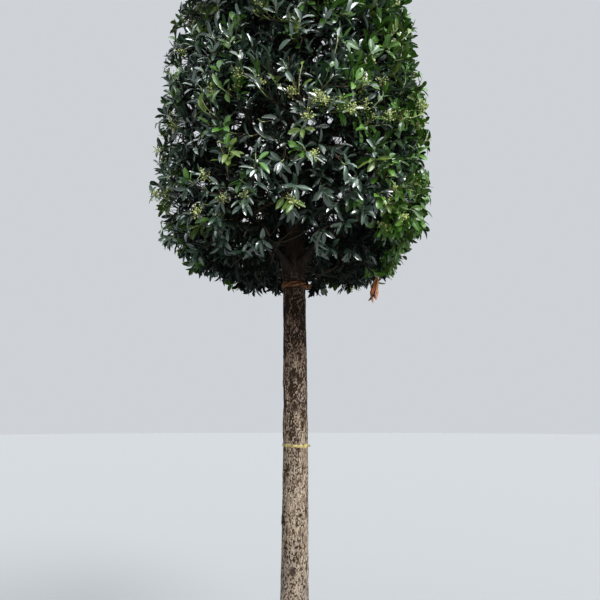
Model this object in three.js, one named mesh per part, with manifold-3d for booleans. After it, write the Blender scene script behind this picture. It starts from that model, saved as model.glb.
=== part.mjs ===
// A potted holly: a tall evergreen tree with one clear stem and a dense, egg-shaped crown, standing in a
// round nursery pot. Millimetres, +Z up. The origin is the middle of the flat underside of the pot, and -Y
// is the front.
//
// The stem runs on through the crown as its leader. Boughs leave it in four rings, and each ends where it
// enters its own mass of foliage. A mass is one stem, the twigs that spread from it, and the leaves and
// young fruit on them, all fused into one solid round a small dense core. Every mass keeps to its own share
// of the crown.
import * as THREE from "three";
import { mergeVertices } from "three/addons/utils/BufferGeometryUtils.js";
import Module from "manifold-3d";

const wasm = await Module();
wasm.setup();

const CLEARANCE = 0.3; // between two pieces that touch
const GOLDEN_TURN = Math.PI * (3 - Math.sqrt(5));
const UP = new THREE.Vector3(0, 0, 1);

// The pot: a moulded tub with a rolled rim, a shallow band under it and a sloping wall.
const POT_HEIGHT = 580;
const POT_RIM_RADIUS = 356;
const POT_BASE_RADIUS = 284;
const POT_WALL = 6;
const POT_FLOOR = 8;
const POT_FOOT_ROUND = 10;
const RIM_ROLL = 11; // radius of the rolled edge
const BAND_HEIGHT = 62;
const BAND_STEP = 5;
const POT_SEGMENTS = 32;
const CURVE_STEPS = 3; // straight pieces in each rounding of the pot's profile

// The potting compost, filled to a little under the rim.
const SOIL_LEVEL = 540;
const SOIL_FLAT_RADIUS = 130; // level ground round the foot of the tree
const SOIL_DIP = 14; // how far it falls away to the wall

// The trunk, from its flat cut on the compost to the tip of the leader.
const TRUNK_FOOT = SOIL_LEVEL + CLEARANCE;
const TRUNK_TIP = 3790;
const STEM_RADIUS = 62; // just over the root flare
const CROWN_BASE_RADIUS = 54;
const COLLAR_SWELL = 5; // where the lowest boughs leave
const TIP_RADIUS = 9;
const FLARE = 24;
const FLARE_HEIGHT = 85;
const FLARE_LOBES = 5;
const LOBE_DEPTH = 0.5; // share of the flare that the lobes take
const TRUNK_BOW = 7; // how far the stem bows towards +X at half its clear height
const TRUNK_SIDES = 12;
const TRUNK_ROWS = 20;

// The crown: its outline is a radius at each height.
const CROWN_BOTTOM = 2085;
const CROWN_WIDEST = 2580;
const CROWN_TOP = 4200;
const CROWN_RADIUS = 700;
const UNDERSIDE_POWER = 2.6;
const DOME_POWER = 2.5;

// The four rings of boughs. A mass is centred "out" from the trunk at height "heart", its bough leaves the
// trunk at height "root" with radius "thick", and every second mass of a ring sits lower by the stagger, the
// others higher by as much.
const RINGS = [
  { name: "low", count: 5, turn: 0.3, out: 415, heart: 2400, stagger: 40, root: 2215, thick: 19 },
  { name: "middle", count: 5, turn: 0.95, out: 425, heart: 2835, stagger: 95, root: 2550, thick: 17 },
  { name: "high", count: 4, turn: 0.35, out: 385, heart: 3285, stagger: 60, root: 2975, thick: 14 },
  { name: "upper", count: 3, turn: 1.1, out: 265, heart: 3655, stagger: 30, root: 3370, thick: 10.5 },
];
const CREST_HEART = 3975;
const SEED = 4711;
const TURN_JITTER = 0.16; // radians
const HEIGHT_JITTER = 25;
const ROOT_JITTER = 45;
const BOUGH_SHARE = 0.37; // share of a branch that is bare bough, before the mass begins
const BOUGH_TAPER = 0.55;
const STEM_TIP_RADIUS = 4;
const BRANCH_REACH = 0.86; // of the crown's radius
const BRANCH_RISE = 0.3; // how much of its climb to the heart a branch goes on to make beyond it
const ELBOW_RISE = 0.62; // share of that climb made half-way to the heart
const BOUGH_SIDES = 5;
const BOUGH_ROWS = 3;

// A mass of foliage.
const SPACE_MARGIN = 3; // kept free on each side of the face between two masses
const STEM_SIDES = 4;
const STEM_ROWS = 2;
const TWIGS = 7;
const TWIG_ROOT_RADIUS = 8;
const TWIG_TIP_RADIUS = 5;
const TWIG_REACH = 0.9; // of the way from the heart to the edge of the space
const MOST_TWIG = 390;
const LEAST_TWIG = 60;
const BACKMOST = -0.35; // cosine of the angle at which the last twig points back
const TWIG_ROOTS = [0.95, 0.25]; // shares of the stem between which the twigs leave it, first and last
const TWIG_JITTER = 0.3; // radians
const CORE_SHARE = 0.58; // of the way from the heart to the edge of the space
const MOST_CORE = 160;
const CORE_LUMPS = 0.14;
const LEAVES_PER_TWIG = 4;
const LEAST_BARE = 0.3; // share of a twig that bears no leaf, however small the core
const LEAF_LENGTH = 220;
const LEAF_WIDTH = 106;
const LEAF_KEEL = 7; // how far the midrib stands out below the blade
const LEAF_WIDEST = 0.46; // share of its length
const LEAF_SPREAD = 1.15; // radians away from the twig
const LEAF_SIZES = [1, 0.86, 0.72, 0.58]; // tried in turn until one fits
const LEAF_SHIFTS = [0, 0.8, -0.8, 1.6, -1.6]; // radians round the twig, tried at each size
const LIMB_ROOM = 3; // kept free between a leaf and a limb
const FRUIT_EVERY = 3; // one mass in three bears a cluster of young fruit
const FRUIT_TWIG = 2;
const FRUIT_RADIUS = 12;
const FRUIT_SHARES = [0.45, 0.6]; // of the part of the twig that stands out of the core

// The two ties round the clear stem.
const STRAP = { height: 2126, width: 22, thick: 3.5, knot: 8 };
const TAPE = { height: 1375, width: 13, thick: 1.4, knot: 4 };

const plastic = new THREE.MeshStandardMaterial({ color: 0x1b1c1e, roughness: 0.6 });
const compost = new THREE.MeshStandardMaterial({ color: 0x5a4635, roughness: 0.95 });
const bark = new THREE.MeshStandardMaterial({ color: 0x8a7c66, roughness: 0.9 });
const darkBark = new THREE.MeshStandardMaterial({ color: 0x4a3b30, roughness: 0.9 });
const leafGreen = new THREE.MeshStandardMaterial({ color: 0x1f3d1c, roughness: 0.35 });
const strapOrange = new THREE.MeshStandardMaterial({ color: 0x8f4a1e, roughness: 0.8 });
const tapeYellow = new THREE.MeshStandardMaterial({ color: 0xc9b93a, roughness: 0.6 });

// A repeatable stream of numbers between 0 and 1, the same on every machine.
class Dice {
  constructor(seed) {
    this.state = seed;
    for (let i = 0; i < 4; i++) this.roll();
  }
  roll() {
    this.state = (this.state * 16807) % 2147483647;
    return this.state / 2147483647;
  }
  between(low, high) {
    return low + (high - low) * this.roll();
  }
}

// Solids: a closed three.js geometry in, a manifold out, and back again.
function solidOf(geometry) {
  geometry.deleteAttribute("normal");
  geometry.deleteAttribute("uv");
  const merged = mergeVertices(geometry, 1e-3);
  const mesh = new wasm.Mesh({
    numProp: 3,
    vertProperties: merged.attributes.position.array,
    triVerts: new Uint32Array(merged.index.array),
  });
  mesh.merge();
  return new wasm.Manifold(mesh);
}

// Fusing can leave a loose scrap or a sealed hollow: only the largest closed skin is kept.
function largestBody(solid) {
  const bodies = solid.decompose();
  return bodies.reduce((best, body) => (body.volume() > best.volume() ? body : best));
}

function meshOf(name, solid, material) {
  const { vertProperties, triVerts } = solid.getMesh();
  const geometry = new THREE.BufferGeometry();
  geometry.setAttribute("position", new THREE.BufferAttribute(vertProperties, 3));
  geometry.setIndex(new THREE.BufferAttribute(triVerts, 1));
  geometry.computeVertexNormals();
  const mesh = new THREE.Mesh(geometry, material);
  mesh.name = name;
  return mesh;
}

// A limb is a cylinder whose rows are carried along a curve, from share "from" to share "to" of it.
function limb(curve, radiusAt, { sides, rows, from = 0, to = 1 }) {
  const geometry = new THREE.CylinderGeometry(1, 1, 1, sides, rows);
  const chord = curve.getPoint(to).sub(curve.getPoint(from)).normalize();
  const across = Math.abs(chord.z) < 0.8 ? UP : new THREE.Vector3(1, 0, 0);
  const position = geometry.attributes.position;
  for (let i = 0; i < position.count; i++) {
    const share = from + (to - from) * (position.getY(i) + 0.5);
    const along = curve.getTangent(share);
    const side = across.clone().addScaledVector(along, -across.dot(along)).normalize();
    const other = side.clone().cross(along);
    const angle = Math.atan2(position.getZ(i), position.getX(i));
    const point = curve.getPoint(share);
    const radius = radiusAt(share, angle);
    point.addScaledVector(side, position.getX(i) * radius);
    point.addScaledVector(other, position.getZ(i) * radius);
    position.setXYZ(i, point.x, point.y, point.z);
  }
  return solidOf(geometry);
}

// The pot and what fills it. Both are turned about Z, so their facets lie side by side.
function turned(points) {
  return solidOf(new THREE.LatheGeometry(points, POT_SEGMENTS).rotateX(Math.PI / 2));
}

function wallRadius(z) {
  const top = POT_RIM_RADIUS - RIM_ROLL - BAND_STEP;
  return POT_BASE_RADIUS + ((top - POT_BASE_RADIUS) * z) / (POT_HEIGHT - BAND_HEIGHT);
}

function makePot() {
  const bandFoot = POT_HEIGHT - BAND_HEIGHT;
  const rimMiddle = POT_RIM_RADIUS - RIM_ROLL;
  const profile = new THREE.Path();
  profile.moveTo(0, 0);
  profile.lineTo(POT_BASE_RADIUS - POT_FOOT_ROUND, 0);
  profile.quadraticCurveTo(POT_BASE_RADIUS, 0, wallRadius(POT_FOOT_ROUND), POT_FOOT_ROUND);
  profile.lineTo(wallRadius(bandFoot), bandFoot);
  profile.lineTo(rimMiddle, bandFoot + BAND_STEP);
  profile.lineTo(rimMiddle, POT_HEIGHT - 2 * RIM_ROLL);
  profile.absarc(rimMiddle, POT_HEIGHT - RIM_ROLL, RIM_ROLL, -Math.PI / 2, Math.PI, false);
  profile.lineTo(rimMiddle - RIM_ROLL, bandFoot);
  profile.lineTo(wallRadius(POT_FLOOR) - POT_WALL, POT_FLOOR);
  profile.lineTo(0, POT_FLOOR);
  return turned(profile.getPoints(CURVE_STEPS));
}

function makeSoil() {
  const foot = POT_FLOOR + CLEARANCE;
  const bandFoot = POT_HEIGHT - BAND_HEIGHT;
  const bandInside = POT_RIM_RADIUS - 2 * RIM_ROLL - CLEARANCE;
  return turned([
    new THREE.Vector2(0, foot),
    new THREE.Vector2(wallRadius(POT_FLOOR) - POT_WALL - CLEARANCE, foot),
    new THREE.Vector2(bandInside, bandFoot),
    new THREE.Vector2(bandInside, SOIL_LEVEL - SOIL_DIP),
    new THREE.Vector2(SOIL_FLAT_RADIUS, SOIL_LEVEL),
    new THREE.Vector2(0, SOIL_LEVEL),
  ]);
}

// The trunk's line: upright, with a slight bow in the clear stem, and upright again in the crown.
function trunkPoint(z) {
  const clear = Math.min(1, (z - TRUNK_FOOT) / (CROWN_BOTTOM - TRUNK_FOOT));
  return new THREE.Vector3(TRUNK_BOW * Math.sin(Math.PI * clear), 0, z);
}

class TrunkCurve extends THREE.Curve {
  getPoint(share) {
    return trunkPoint(THREE.MathUtils.lerp(TRUNK_FOOT, TRUNK_TIP, share));
  }
  getTangent() {
    return UP.clone(); // its sections stay level
  }
}
const trunkCurve = new TrunkCurve();

function trunkRadius(z) {
  if (z > CROWN_BOTTOM) {
    const up = (z - CROWN_BOTTOM) / (TRUNK_TIP - CROWN_BOTTOM);
    const swell = COLLAR_SWELL * Math.exp(-(((z - CROWN_BOTTOM - 130) / 110) ** 2));
    return THREE.MathUtils.lerp(CROWN_BASE_RADIUS, TIP_RADIUS, up ** 0.8) + swell;
  }
  const up = (z - TRUNK_FOOT) / (CROWN_BOTTOM - TRUNK_FOOT);
  const flare = FLARE * Math.exp(-(z - TRUNK_FOOT) / FLARE_HEIGHT);
  return THREE.MathUtils.lerp(STEM_RADIUS, CROWN_BASE_RADIUS, up) + flare;
}

// The flare stands out in a few lobes, where the main roots leave.
function trunkSkin(extra = 0) {
  return (share, angle) => {
    const z = THREE.MathUtils.lerp(TRUNK_FOOT, TRUNK_TIP, share);
    const lobe = FLARE * LOBE_DEPTH * Math.exp(-(z - TRUNK_FOOT) / FLARE_HEIGHT);
    return trunkRadius(z) + lobe * Math.cos(FLARE_LOBES * angle + 0.6) + extra;
  };
}

function makeTrunk(extra = 0) {
  return limb(trunkCurve, trunkSkin(extra), { sides: TRUNK_SIDES, rows: TRUNK_ROWS });
}

// A tie is a band round the trunk with a small knot on its right-hand side.
function makeTie({ height, width, thick, knot }, trunkRoom) {
  const shareAt = (z) => (z - TRUNK_FOOT) / (TRUNK_TIP - TRUNK_FOOT);
  const [from, to] = [shareAt(height - width / 2), shareAt(height + width / 2)];
  const band = limb(trunkCurve, trunkSkin(CLEARANCE + thick), { sides: TRUNK_SIDES, rows: 1, from, to });
  const bump = new THREE.OctahedronGeometry(knot);
  const at = trunkPoint(height);
  bump.translate(at.x + trunkRadius(height) + thick, at.y, at.z);
  return largestBody(band.add(solidOf(bump)).subtract(trunkRoom));
}

// The crown's radius at a height.
function crownRadius(z) {
  if (z <= CROWN_BOTTOM || z >= CROWN_TOP) return 0;
  if (z < CROWN_WIDEST) {
    const down = (CROWN_WIDEST - z) / (CROWN_WIDEST - CROWN_BOTTOM);
    return CROWN_RADIUS * Math.sqrt(1 - down ** UNDERSIDE_POWER);
  }
  const up = (z - CROWN_WIDEST) / (CROWN_TOP - CROWN_WIDEST);
  return CROWN_RADIUS * Math.sqrt(1 - up ** DOME_POWER);
}

function polar(radius, angle, z) {
  return new THREE.Vector3(radius * Math.cos(angle), radius * Math.sin(angle), z);
}

// The branches, ring by ring. Each has its curve, from the trunk's middle to the outer end of its mass's
// stem.
function layOut() {
  const dice = new Dice(SEED);
  const branches = [];
  for (const ring of RINGS) {
    for (let i = 0; i < ring.count; i++) {
      const angle = ring.turn + (2 * Math.PI * i) / ring.count + dice.between(-TURN_JITTER, TURN_JITTER);
      const stagger = i % 2 ? -ring.stagger : ring.stagger;
      const heartZ = ring.heart + stagger + dice.between(-HEIGHT_JITTER, HEIGHT_JITTER);
      const rootZ = ring.root + 0.5 * stagger + dice.between(-ROOT_JITTER, ROOT_JITTER);
      const endZ = heartZ + BRANCH_RISE * (heartZ - rootZ);
      const end = polar(crownRadius(endZ) * BRANCH_REACH, angle, endZ);
      const heart = polar(ring.out, angle, heartZ);
      const elbow = polar(0.5 * ring.out, angle, THREE.MathUtils.lerp(rootZ, heartZ, ELBOW_RISE));
      const curve = new THREE.QuadraticBezierCurve3(trunkPoint(rootZ), elbow, end);
      branches.push({ name: `${ring.name}_${i + 1}`, heart, curve, rootRadius: ring.thick });
    }
  }
  return branches;
}

// A branch's radius at a share of its length, bough and stem alike.
function branchRadius(rootRadius, share) {
  const boughEnd = rootRadius * BOUGH_TAPER;
  if (share < BOUGH_SHARE) return THREE.MathUtils.lerp(rootRadius, boughEnd, share / BOUGH_SHARE);
  return THREE.MathUtils.lerp(boughEnd, STEM_TIP_RADIUS, (share - BOUGH_SHARE) / (1 - BOUGH_SHARE));
}

function makeBough(branch, trunkRoom) {
  const radiusAt = (share) => branchRadius(branch.rootRadius, share);
  const whole = limb(branch.curve, radiusAt, { sides: BOUGH_SIDES, rows: BOUGH_ROWS, to: BOUGH_SHARE });
  return largestBody(whole.subtract(trunkRoom));
}

// A point is in a mass's space if it is inside the crown and nearer to this heart than to any other.
function inSpace(point, mass, hearts) {
  if (Math.hypot(point.x, point.y) > crownRadius(point.z)) return false;
  const own = point.distanceToSquared(mass.heart);
  return hearts.every((heart) => {
    if (heart === mass.heart) return true;
    const apart = heart.distanceTo(mass.heart);
    return (point.distanceToSquared(heart) - own) / (2 * apart) > SPACE_MARGIN;
  });
}

// How far the space reaches from the heart in a direction.
function reachFrom(mass, direction, hearts) {
  const step = 10;
  let reach = step;
  const point = mass.heart.clone().addScaledVector(direction, reach);
  while (reach < 2 * CROWN_RADIUS && inSpace(point, mass, hearts)) {
    reach += step;
    point.addScaledVector(direction, step);
  }
  return reach - step;
}

// Twigs spread from the stem by the golden turn. The first aims straight on and the last a little backwards,
// and each leaves the stem the nearer to its root the further back it aims.
function layTwigs(mass, hearts, branches, dice) {
  const onward = mass.curve.getTangent((1 + mass.from) / 2);
  const side = new THREE.Vector3().crossVectors(onward, UP);
  if (side.length() < 0.1) side.set(1, 0, 0);
  side.normalize();
  const other = new THREE.Vector3().crossVectors(onward, side);
  const twigs = [];
  for (let i = 0; i < TWIGS; i++) {
    const ahead = THREE.MathUtils.lerp(1, BACKMOST, (i + 0.5) / TWIGS);
    const turn = i * GOLDEN_TURN + dice.between(-TWIG_JITTER, TWIG_JITTER);
    const off = Math.sqrt(1 - ahead * ahead);
    const aim = onward.clone().multiplyScalar(ahead);
    aim.addScaledVector(side, off * Math.cos(turn)).addScaledVector(other, off * Math.sin(turn));
    const reach = Math.min(MOST_TWIG, reachFrom(mass, aim, hearts) * TWIG_REACH * dice.between(0.9, 1));
    const tip = mass.heart.clone().addScaledVector(aim, reach);
    const share = THREE.MathUtils.lerp(...TWIG_ROOTS, (i + dice.roll()) / TWIGS);
    const root = mass.curve.getPoint(THREE.MathUtils.lerp(mass.from, 1, share));
    const twig = new THREE.LineCurve3(root, tip);
    const inside = twig.getPoints(6).every((point) => inSpace(point, mass, hearts));
    const long = root.distanceTo(tip) > LEAST_TWIG;
    if (inside && long && !touchesLimb(twig.getPoint(0.3), tip, TWIG_ROOT_RADIUS, branches)) twigs.push(twig);
  }
  return twigs;
}

// How near a straight line from a to b comes to a curve's middle, between two shares of its length.
function lineGap(a, b, curve, from, to) {
  const line = new THREE.Line3(a, b);
  const nearest = new THREE.Vector3();
  const steps = 24;
  let gap = Infinity;
  for (let i = 0; i <= steps; i++) {
    const point = curve.getPoint(THREE.MathUtils.lerp(from, to, i / steps));
    line.closestPointToPoint(point, true, nearest);
    gap = Math.min(gap, nearest.distanceTo(point));
  }
  return gap;
}

// True if something as wide as "half" on each side of the line from a to b would touch the trunk or a bough.
function touchesLimb(a, b, half, branches) {
  const steps = 8;
  for (let i = 0; i <= steps; i++) {
    const point = a.clone().lerp(b, i / steps);
    const axis = trunkPoint(point.z);
    const room = trunkRadius(point.z) + half + LIMB_ROOM;
    if (point.z < TRUNK_TIP + half && Math.hypot(point.x - axis.x, point.y - axis.y) < room) return true;
  }
  return branches.some(
    (branch) => lineGap(a, b, branch.curve, 0, BOUGH_SHARE) < branch.rootRadius + half + LIMB_ROOM,
  );
}

// A leaf is a long pointed blade with three corners across its widest place: its two edges, and a midrib that
// stands out below.
function makeLeaf(root, aim, face, length) {
  const geometry = new THREE.SphereGeometry(1, 3, 2);
  const position = geometry.attributes.position;
  const across = new THREE.Vector3().crossVectors(aim, face).normalize();
  const normal = new THREE.Vector3().crossVectors(across, aim).normalize();
  const size = length / LEAF_LENGTH;
  const place = (along, sideways, lift) => {
    const point = root.clone().addScaledVector(aim, along * length);
    return point.addScaledVector(across, sideways * size).addScaledVector(normal, lift * size);
  };
  const edge = LEAF_WIDTH / 2;
  const corners = [place(0.5, 0, -LEAF_KEEL), place(LEAF_WIDEST, edge, 0), place(LEAF_WIDEST, -edge, 0)];
  for (let i = 0; i < position.count; i++) {
    const [x, y, z] = [position.getX(i), position.getY(i), position.getZ(i)];
    const corner = Math.round(((Math.atan2(z, -x) / (2 * Math.PI)) * 3 + 3) % 3) % 3;
    const point = Math.abs(y) > 0.5 ? place(0.5 - 0.5 * Math.sign(y), 0, 0) : corners[corner];
    position.setXYZ(i, point.x, point.y, point.z);
  }
  return { solid: solidOf(geometry), rim: [place(1, 0, 0), ...corners], root, half: (LEAF_WIDTH * size) / 2 };
}

// The share of a twig, from its root, that lies in the core and so bears nothing.
function bareShare(twig, mass, hearts) {
  let share = LEAST_BARE;
  while (share < 1) {
    const out = twig.getPoint(share).sub(mass.heart);
    if (out.length() > coreRadius(mass, out.clone().normalize(), hearts)) break;
    share += 0.02;
  }
  return share;
}

// The leaves of one twig, turned round it by the golden turn. A leaf that would leave the mass's space, or
// touch a limb or anything in "taken", is shifted round the twig, then tried smaller, and at last left out.
function layLeaves(twig, mass, hearts, branches, taken, dice) {
  const leaves = [];
  const bare = bareShare(twig, mass, hearts);
  const onward = twig.getTangent(0);
  const side = new THREE.Vector3().crossVectors(onward, UP).normalize();
  const other = new THREE.Vector3().crossVectors(side, onward);
  const face = onward.clone().addScaledVector(UP, 0.4);
  const firstTurn = dice.between(0, 2 * Math.PI);
  const fitting = (root, turn, length) => {
    const aim = onward.clone().multiplyScalar(Math.cos(LEAF_SPREAD));
    aim.addScaledVector(side, Math.sin(LEAF_SPREAD) * Math.cos(turn));
    aim.addScaledVector(other, Math.sin(LEAF_SPREAD) * Math.sin(turn));
    const leaf = makeLeaf(root, aim, face, length);
    const inside = leaf.rim.every((point) => inSpace(point, mass, hearts));
    if (!inside || touchesLimb(root, leaf.rim[0], leaf.half, branches)) return null;
    return [...taken, ...leaves].every((solid) => leaf.solid.intersect(solid).isEmpty()) ? leaf.solid : null;
  };
  for (let i = 0; i < LEAVES_PER_TWIG; i++) {
    const root = twig.getPoint(THREE.MathUtils.lerp(bare, 1, (i + 0.5) / (LEAVES_PER_TWIG - 0.4)));
    const turn = firstTurn + i * GOLDEN_TURN;
    const length = LEAF_LENGTH * dice.between(0.85, 1.1);
    const trials = LEAF_SIZES.flatMap((size) => LEAF_SHIFTS.map((shift) => [turn + shift, length * size]));
    for (const [trialTurn, trialLength] of trials) {
      const leaf = fitting(root, trialTurn, trialLength);
      if (leaf) {
        leaves.push(leaf);
        break;
      }
    }
  }
  return leaves;
}

// A cluster of young fruit, sunk in the twig it grows on.
function makeFruit(twig, mass, hearts) {
  const bare = bareShare(twig, mass, hearts);
  const solids = FRUIT_SHARES.map((share, i) => {
    const at = twig.getPoint(THREE.MathUtils.lerp(bare, 1, share));
    const fruit = new THREE.OctahedronGeometry(FRUIT_RADIUS);
    fruit.rotateZ(i * GOLDEN_TURN);
    fruit.translate(at.x, at.y, at.z + (i - 0.5) * FRUIT_RADIUS);
    return solidOf(fruit);
  });
  return wasm.Manifold.union(solids);
}

// The dense inside of a mass is a lumpy ball, smaller than the foliage that stands out of it.
function coreRadius(mass, direction, hearts) {
  const [x, y, z] = direction.toArray();
  const lump = (Math.sin(4 * x + mass.heart.x) + Math.sin(4 * y + mass.heart.y) + Math.sin(4 * z + 1)) / 3;
  const radius = Math.min(MOST_CORE, CORE_SHARE * reachFrom(mass, direction, hearts));
  return radius * (1 + CORE_LUMPS * lump);
}

function makeCore(mass, hearts) {
  const geometry = new THREE.DodecahedronGeometry(1);
  const position = geometry.attributes.position;
  for (let i = 0; i < position.count; i++) {
    const direction = new THREE.Vector3().fromBufferAttribute(position, i).normalize();
    const point = mass.heart.clone().addScaledVector(direction, coreRadius(mass, direction, hearts));
    position.setXYZ(i, point.x, point.y, point.z);
  }
  return solidOf(geometry);
}

function makeMass(mass, index, hearts, branches) {
  const twigDice = new Dice(SEED + 97 * (index + 1));
  const leafDice = new Dice(SEED + 89 * (index + 1));
  const stem = limb(mass.curve, mass.radiusAt, { sides: STEM_SIDES, rows: STEM_ROWS, from: mass.from });
  const middle = stem.add(makeCore(mass, hearts));
  const twigs = layTwigs(mass, hearts, branches, twigDice);
  const radiusAt = (share) => THREE.MathUtils.lerp(TWIG_ROOT_RADIUS, TWIG_TIP_RADIUS, share);
  const wood = twigs.map((twig) => limb(twig, radiusAt, { sides: 3, rows: 1 }));
  const growth = index % FRUIT_EVERY === 0 ? [makeFruit(twigs[FRUIT_TWIG], mass, hearts)] : [];
  twigs.forEach((twig, i) => {
    const otherWood = wood.filter((piece, k) => k !== i);
    growth.push(...layLeaves(twig, mass, hearts, branches, [middle, ...otherWood, ...growth], leafDice));
  });
  return largestBody(wasm.Manifold.union([middle, ...wood, ...growth]));
}

const holly = new THREE.Group();
holly.add(meshOf("pot", makePot(), plastic));
holly.add(meshOf("compost", makeSoil(), compost));
holly.add(meshOf("trunk", makeTrunk(), bark));
const trunkRoom = makeTrunk(CLEARANCE);
holly.add(meshOf("orange_strap", makeTie(STRAP, trunkRoom), strapOrange));
holly.add(meshOf("yellow_tape", makeTie(TAPE, trunkRoom), tapeYellow));

const branches = layOut();
for (const branch of branches) {
  holly.add(meshOf(`bough_${branch.name}`, makeBough(branch, trunkRoom), darkBark));
}

// Each mass's stem goes on from its bough. The crest's stem goes on from the tip of the trunk.
const masses = branches.map((branch) => ({
  name: branch.name,
  heart: branch.heart,
  curve: branch.curve,
  from: BOUGH_SHARE + CLEARANCE / branch.curve.getLength(),
  radiusAt: (share) => branchRadius(branch.rootRadius, share),
}));
const crestFoot = trunkPoint(TRUNK_TIP + CLEARANCE);
const crestTip = new THREE.Vector3(0, 0, THREE.MathUtils.lerp(CREST_HEART, CROWN_TOP, 0.4));
masses.push({
  name: "crest",
  heart: new THREE.Vector3(0, 0, CREST_HEART),
  curve: new THREE.QuadraticBezierCurve3(crestFoot, crestFoot.clone().lerp(crestTip, 0.5), crestTip),
  from: 0,
  radiusAt: (share) => THREE.MathUtils.lerp(TIP_RADIUS, STEM_TIP_RADIUS, share),
});
const hearts = masses.map((mass) => mass.heart);
masses.forEach((mass, i) => {
  holly.add(meshOf(`foliage_${mass.name}`, makeMass(mass, i, hearts, branches), leafGreen));
});

export default holly;
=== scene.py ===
"""A potted holly: one clear stem under a dense, egg-shaped crown of glossy leaves, in a round nursery pot.

Metres, +Z up, -Y is the front, and the origin is the middle of the pot's flat underside. The crown grows by
the rule of the solids: boughs in four rings, a mass of foliage round each, and twigs that spread through the
mass's own space. Here the same rule goes on to finer twigs, leafy shoots and single leaves.
"""

import logging
import math
from dataclasses import dataclass, field
from enum import Enum
from typing import Self

import bpy
import numpy as np
from bpy.types import Material, NodeSocket, Object
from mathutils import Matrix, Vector, noise


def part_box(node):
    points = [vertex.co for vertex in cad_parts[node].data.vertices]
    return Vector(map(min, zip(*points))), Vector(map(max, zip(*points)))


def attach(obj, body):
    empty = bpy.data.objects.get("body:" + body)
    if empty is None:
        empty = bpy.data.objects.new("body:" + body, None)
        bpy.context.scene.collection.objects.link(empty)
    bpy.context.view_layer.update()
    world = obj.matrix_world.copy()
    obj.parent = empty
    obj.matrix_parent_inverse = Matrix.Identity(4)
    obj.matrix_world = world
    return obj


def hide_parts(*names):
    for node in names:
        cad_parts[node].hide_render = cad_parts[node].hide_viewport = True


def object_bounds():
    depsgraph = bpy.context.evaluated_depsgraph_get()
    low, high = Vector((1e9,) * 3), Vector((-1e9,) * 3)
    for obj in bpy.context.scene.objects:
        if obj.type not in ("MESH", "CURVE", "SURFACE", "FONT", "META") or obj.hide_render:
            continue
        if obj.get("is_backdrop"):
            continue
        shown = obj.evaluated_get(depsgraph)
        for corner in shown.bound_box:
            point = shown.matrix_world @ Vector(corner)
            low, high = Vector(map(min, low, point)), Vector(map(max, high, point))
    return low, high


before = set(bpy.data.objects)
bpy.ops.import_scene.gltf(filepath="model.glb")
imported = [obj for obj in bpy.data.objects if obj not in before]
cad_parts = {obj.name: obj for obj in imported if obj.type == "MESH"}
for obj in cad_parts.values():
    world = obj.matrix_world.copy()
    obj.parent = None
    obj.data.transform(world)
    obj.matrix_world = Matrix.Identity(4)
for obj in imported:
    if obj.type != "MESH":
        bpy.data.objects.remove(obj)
CAD_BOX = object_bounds()

LOG = logging.getLogger("holly")
BODY = "root"

KNOT_LAYER = "knots"
FOLD_LAYER = "folds"

Array = np.ndarray
Span = tuple[float, float]
Triple = tuple[float, float, float]
Colour = Triple
Settings = dict[str, object] | None
Values = dict[str | int, object] | None
UP = np.array([0.0, 0.0, 1.0])
SIDEWAYS = np.array([1.0, 0.0, 0.0])
STEEP = 0.8  # the Z part from which a tube's sections are turned by the X axis
CLEARANCE = 0.0003
GOLDEN_TURN = math.pi * (3 - math.sqrt(5))

CROWN_SEED = 4711  # the solids' own seed
FINE_SEED = 2203
SHOOT_SEED = 3301
LEAF_SEED = 5119
SKY_SEED = 23
BARK_SEED = 6007
MULCH_SEED = 17
LITTER_SEED = 8123
BUD_SEED = 29
GAP_SEED = 977
DEAD_SEED = 71


def lerp(low: float, high: float, share: float) -> float:
    """Returns the value that lies that share of the way from low to high."""
    return low + (high - low) * share


def smooth(low: float, high: float, value: Array | float) -> Array | float:
    """Eases from 0, where a value is at low, to 1, where it is at high. Either may be the greater."""
    share = np.clip((np.asarray(value) - low) / (high - low), 0.0, 1.0)
    return share * share * (3 - 2 * share)


def unit(vectors: Array) -> Array:
    """Returns the vectors, along the last axis, each brought to length 1."""
    return vectors / np.maximum(np.linalg.norm(vectors, axis=-1, keepdims=True), 1e-9)


def square_to(vectors: Array, axis: Array) -> Array:
    """Returns directions at right angles to an axis, on the side that the vectors point to."""
    return unit(vectors - axis * np.sum(vectors * axis, axis=-1, keepdims=True))


def fanned(onward: Array, spread: Array, turn: Array) -> Array:
    """Turns directions aside.

    Args:
        onward: The directions, one row each.
        spread: How far aside each goes, in radians.
        turn: Which way it goes, as an angle about the direction.

    Returns:
        The new directions.
    """
    side = unit(np.cross(onward, UP + 0.01))
    other = np.cross(onward, side)
    aside = np.cos(turn)[:, None] * side + np.sin(turn)[:, None] * other
    return np.cos(spread)[:, None] * onward + np.sin(spread)[:, None] * aside


def dealt(counts: Array) -> tuple[Array, Array]:
    """Returns each child's parent, and its number under that parent, from how many each parent has."""
    return np.repeat(np.arange(len(counts)), counts), np.concatenate([np.arange(count) for count in counts])


def even_turns(count: int) -> Array:
    """Returns the angles that share out a full turn evenly."""
    return 2 * np.pi * np.arange(count) / count


def polar(radius: float, angle: float, height: float) -> Array:
    """Returns the point at a radius and angle round the Z axis."""
    return np.array([radius * math.cos(angle), radius * math.sin(angle), height])


def from_axis(points: Array) -> Array:
    """Returns how far points lie from the Z axis."""
    return np.hypot(points[..., 0], points[..., 1])


def noise_at(points: Array, scale: float) -> Array:
    """Returns smooth noise at points, from about -1 to 1. The scale is its waves to the metre."""
    return np.array([noise.noise(Vector(point)) for point in points * scale])


def in_box(points: Array, margin: float | Array) -> Array:
    """Returns which points keep a margin to the sides of the solids' box."""
    low, high = (np.array(corner) for corner in CAD_BOX)
    return np.all((points > low + margin) & (points < high - margin), axis=-1)


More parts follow.
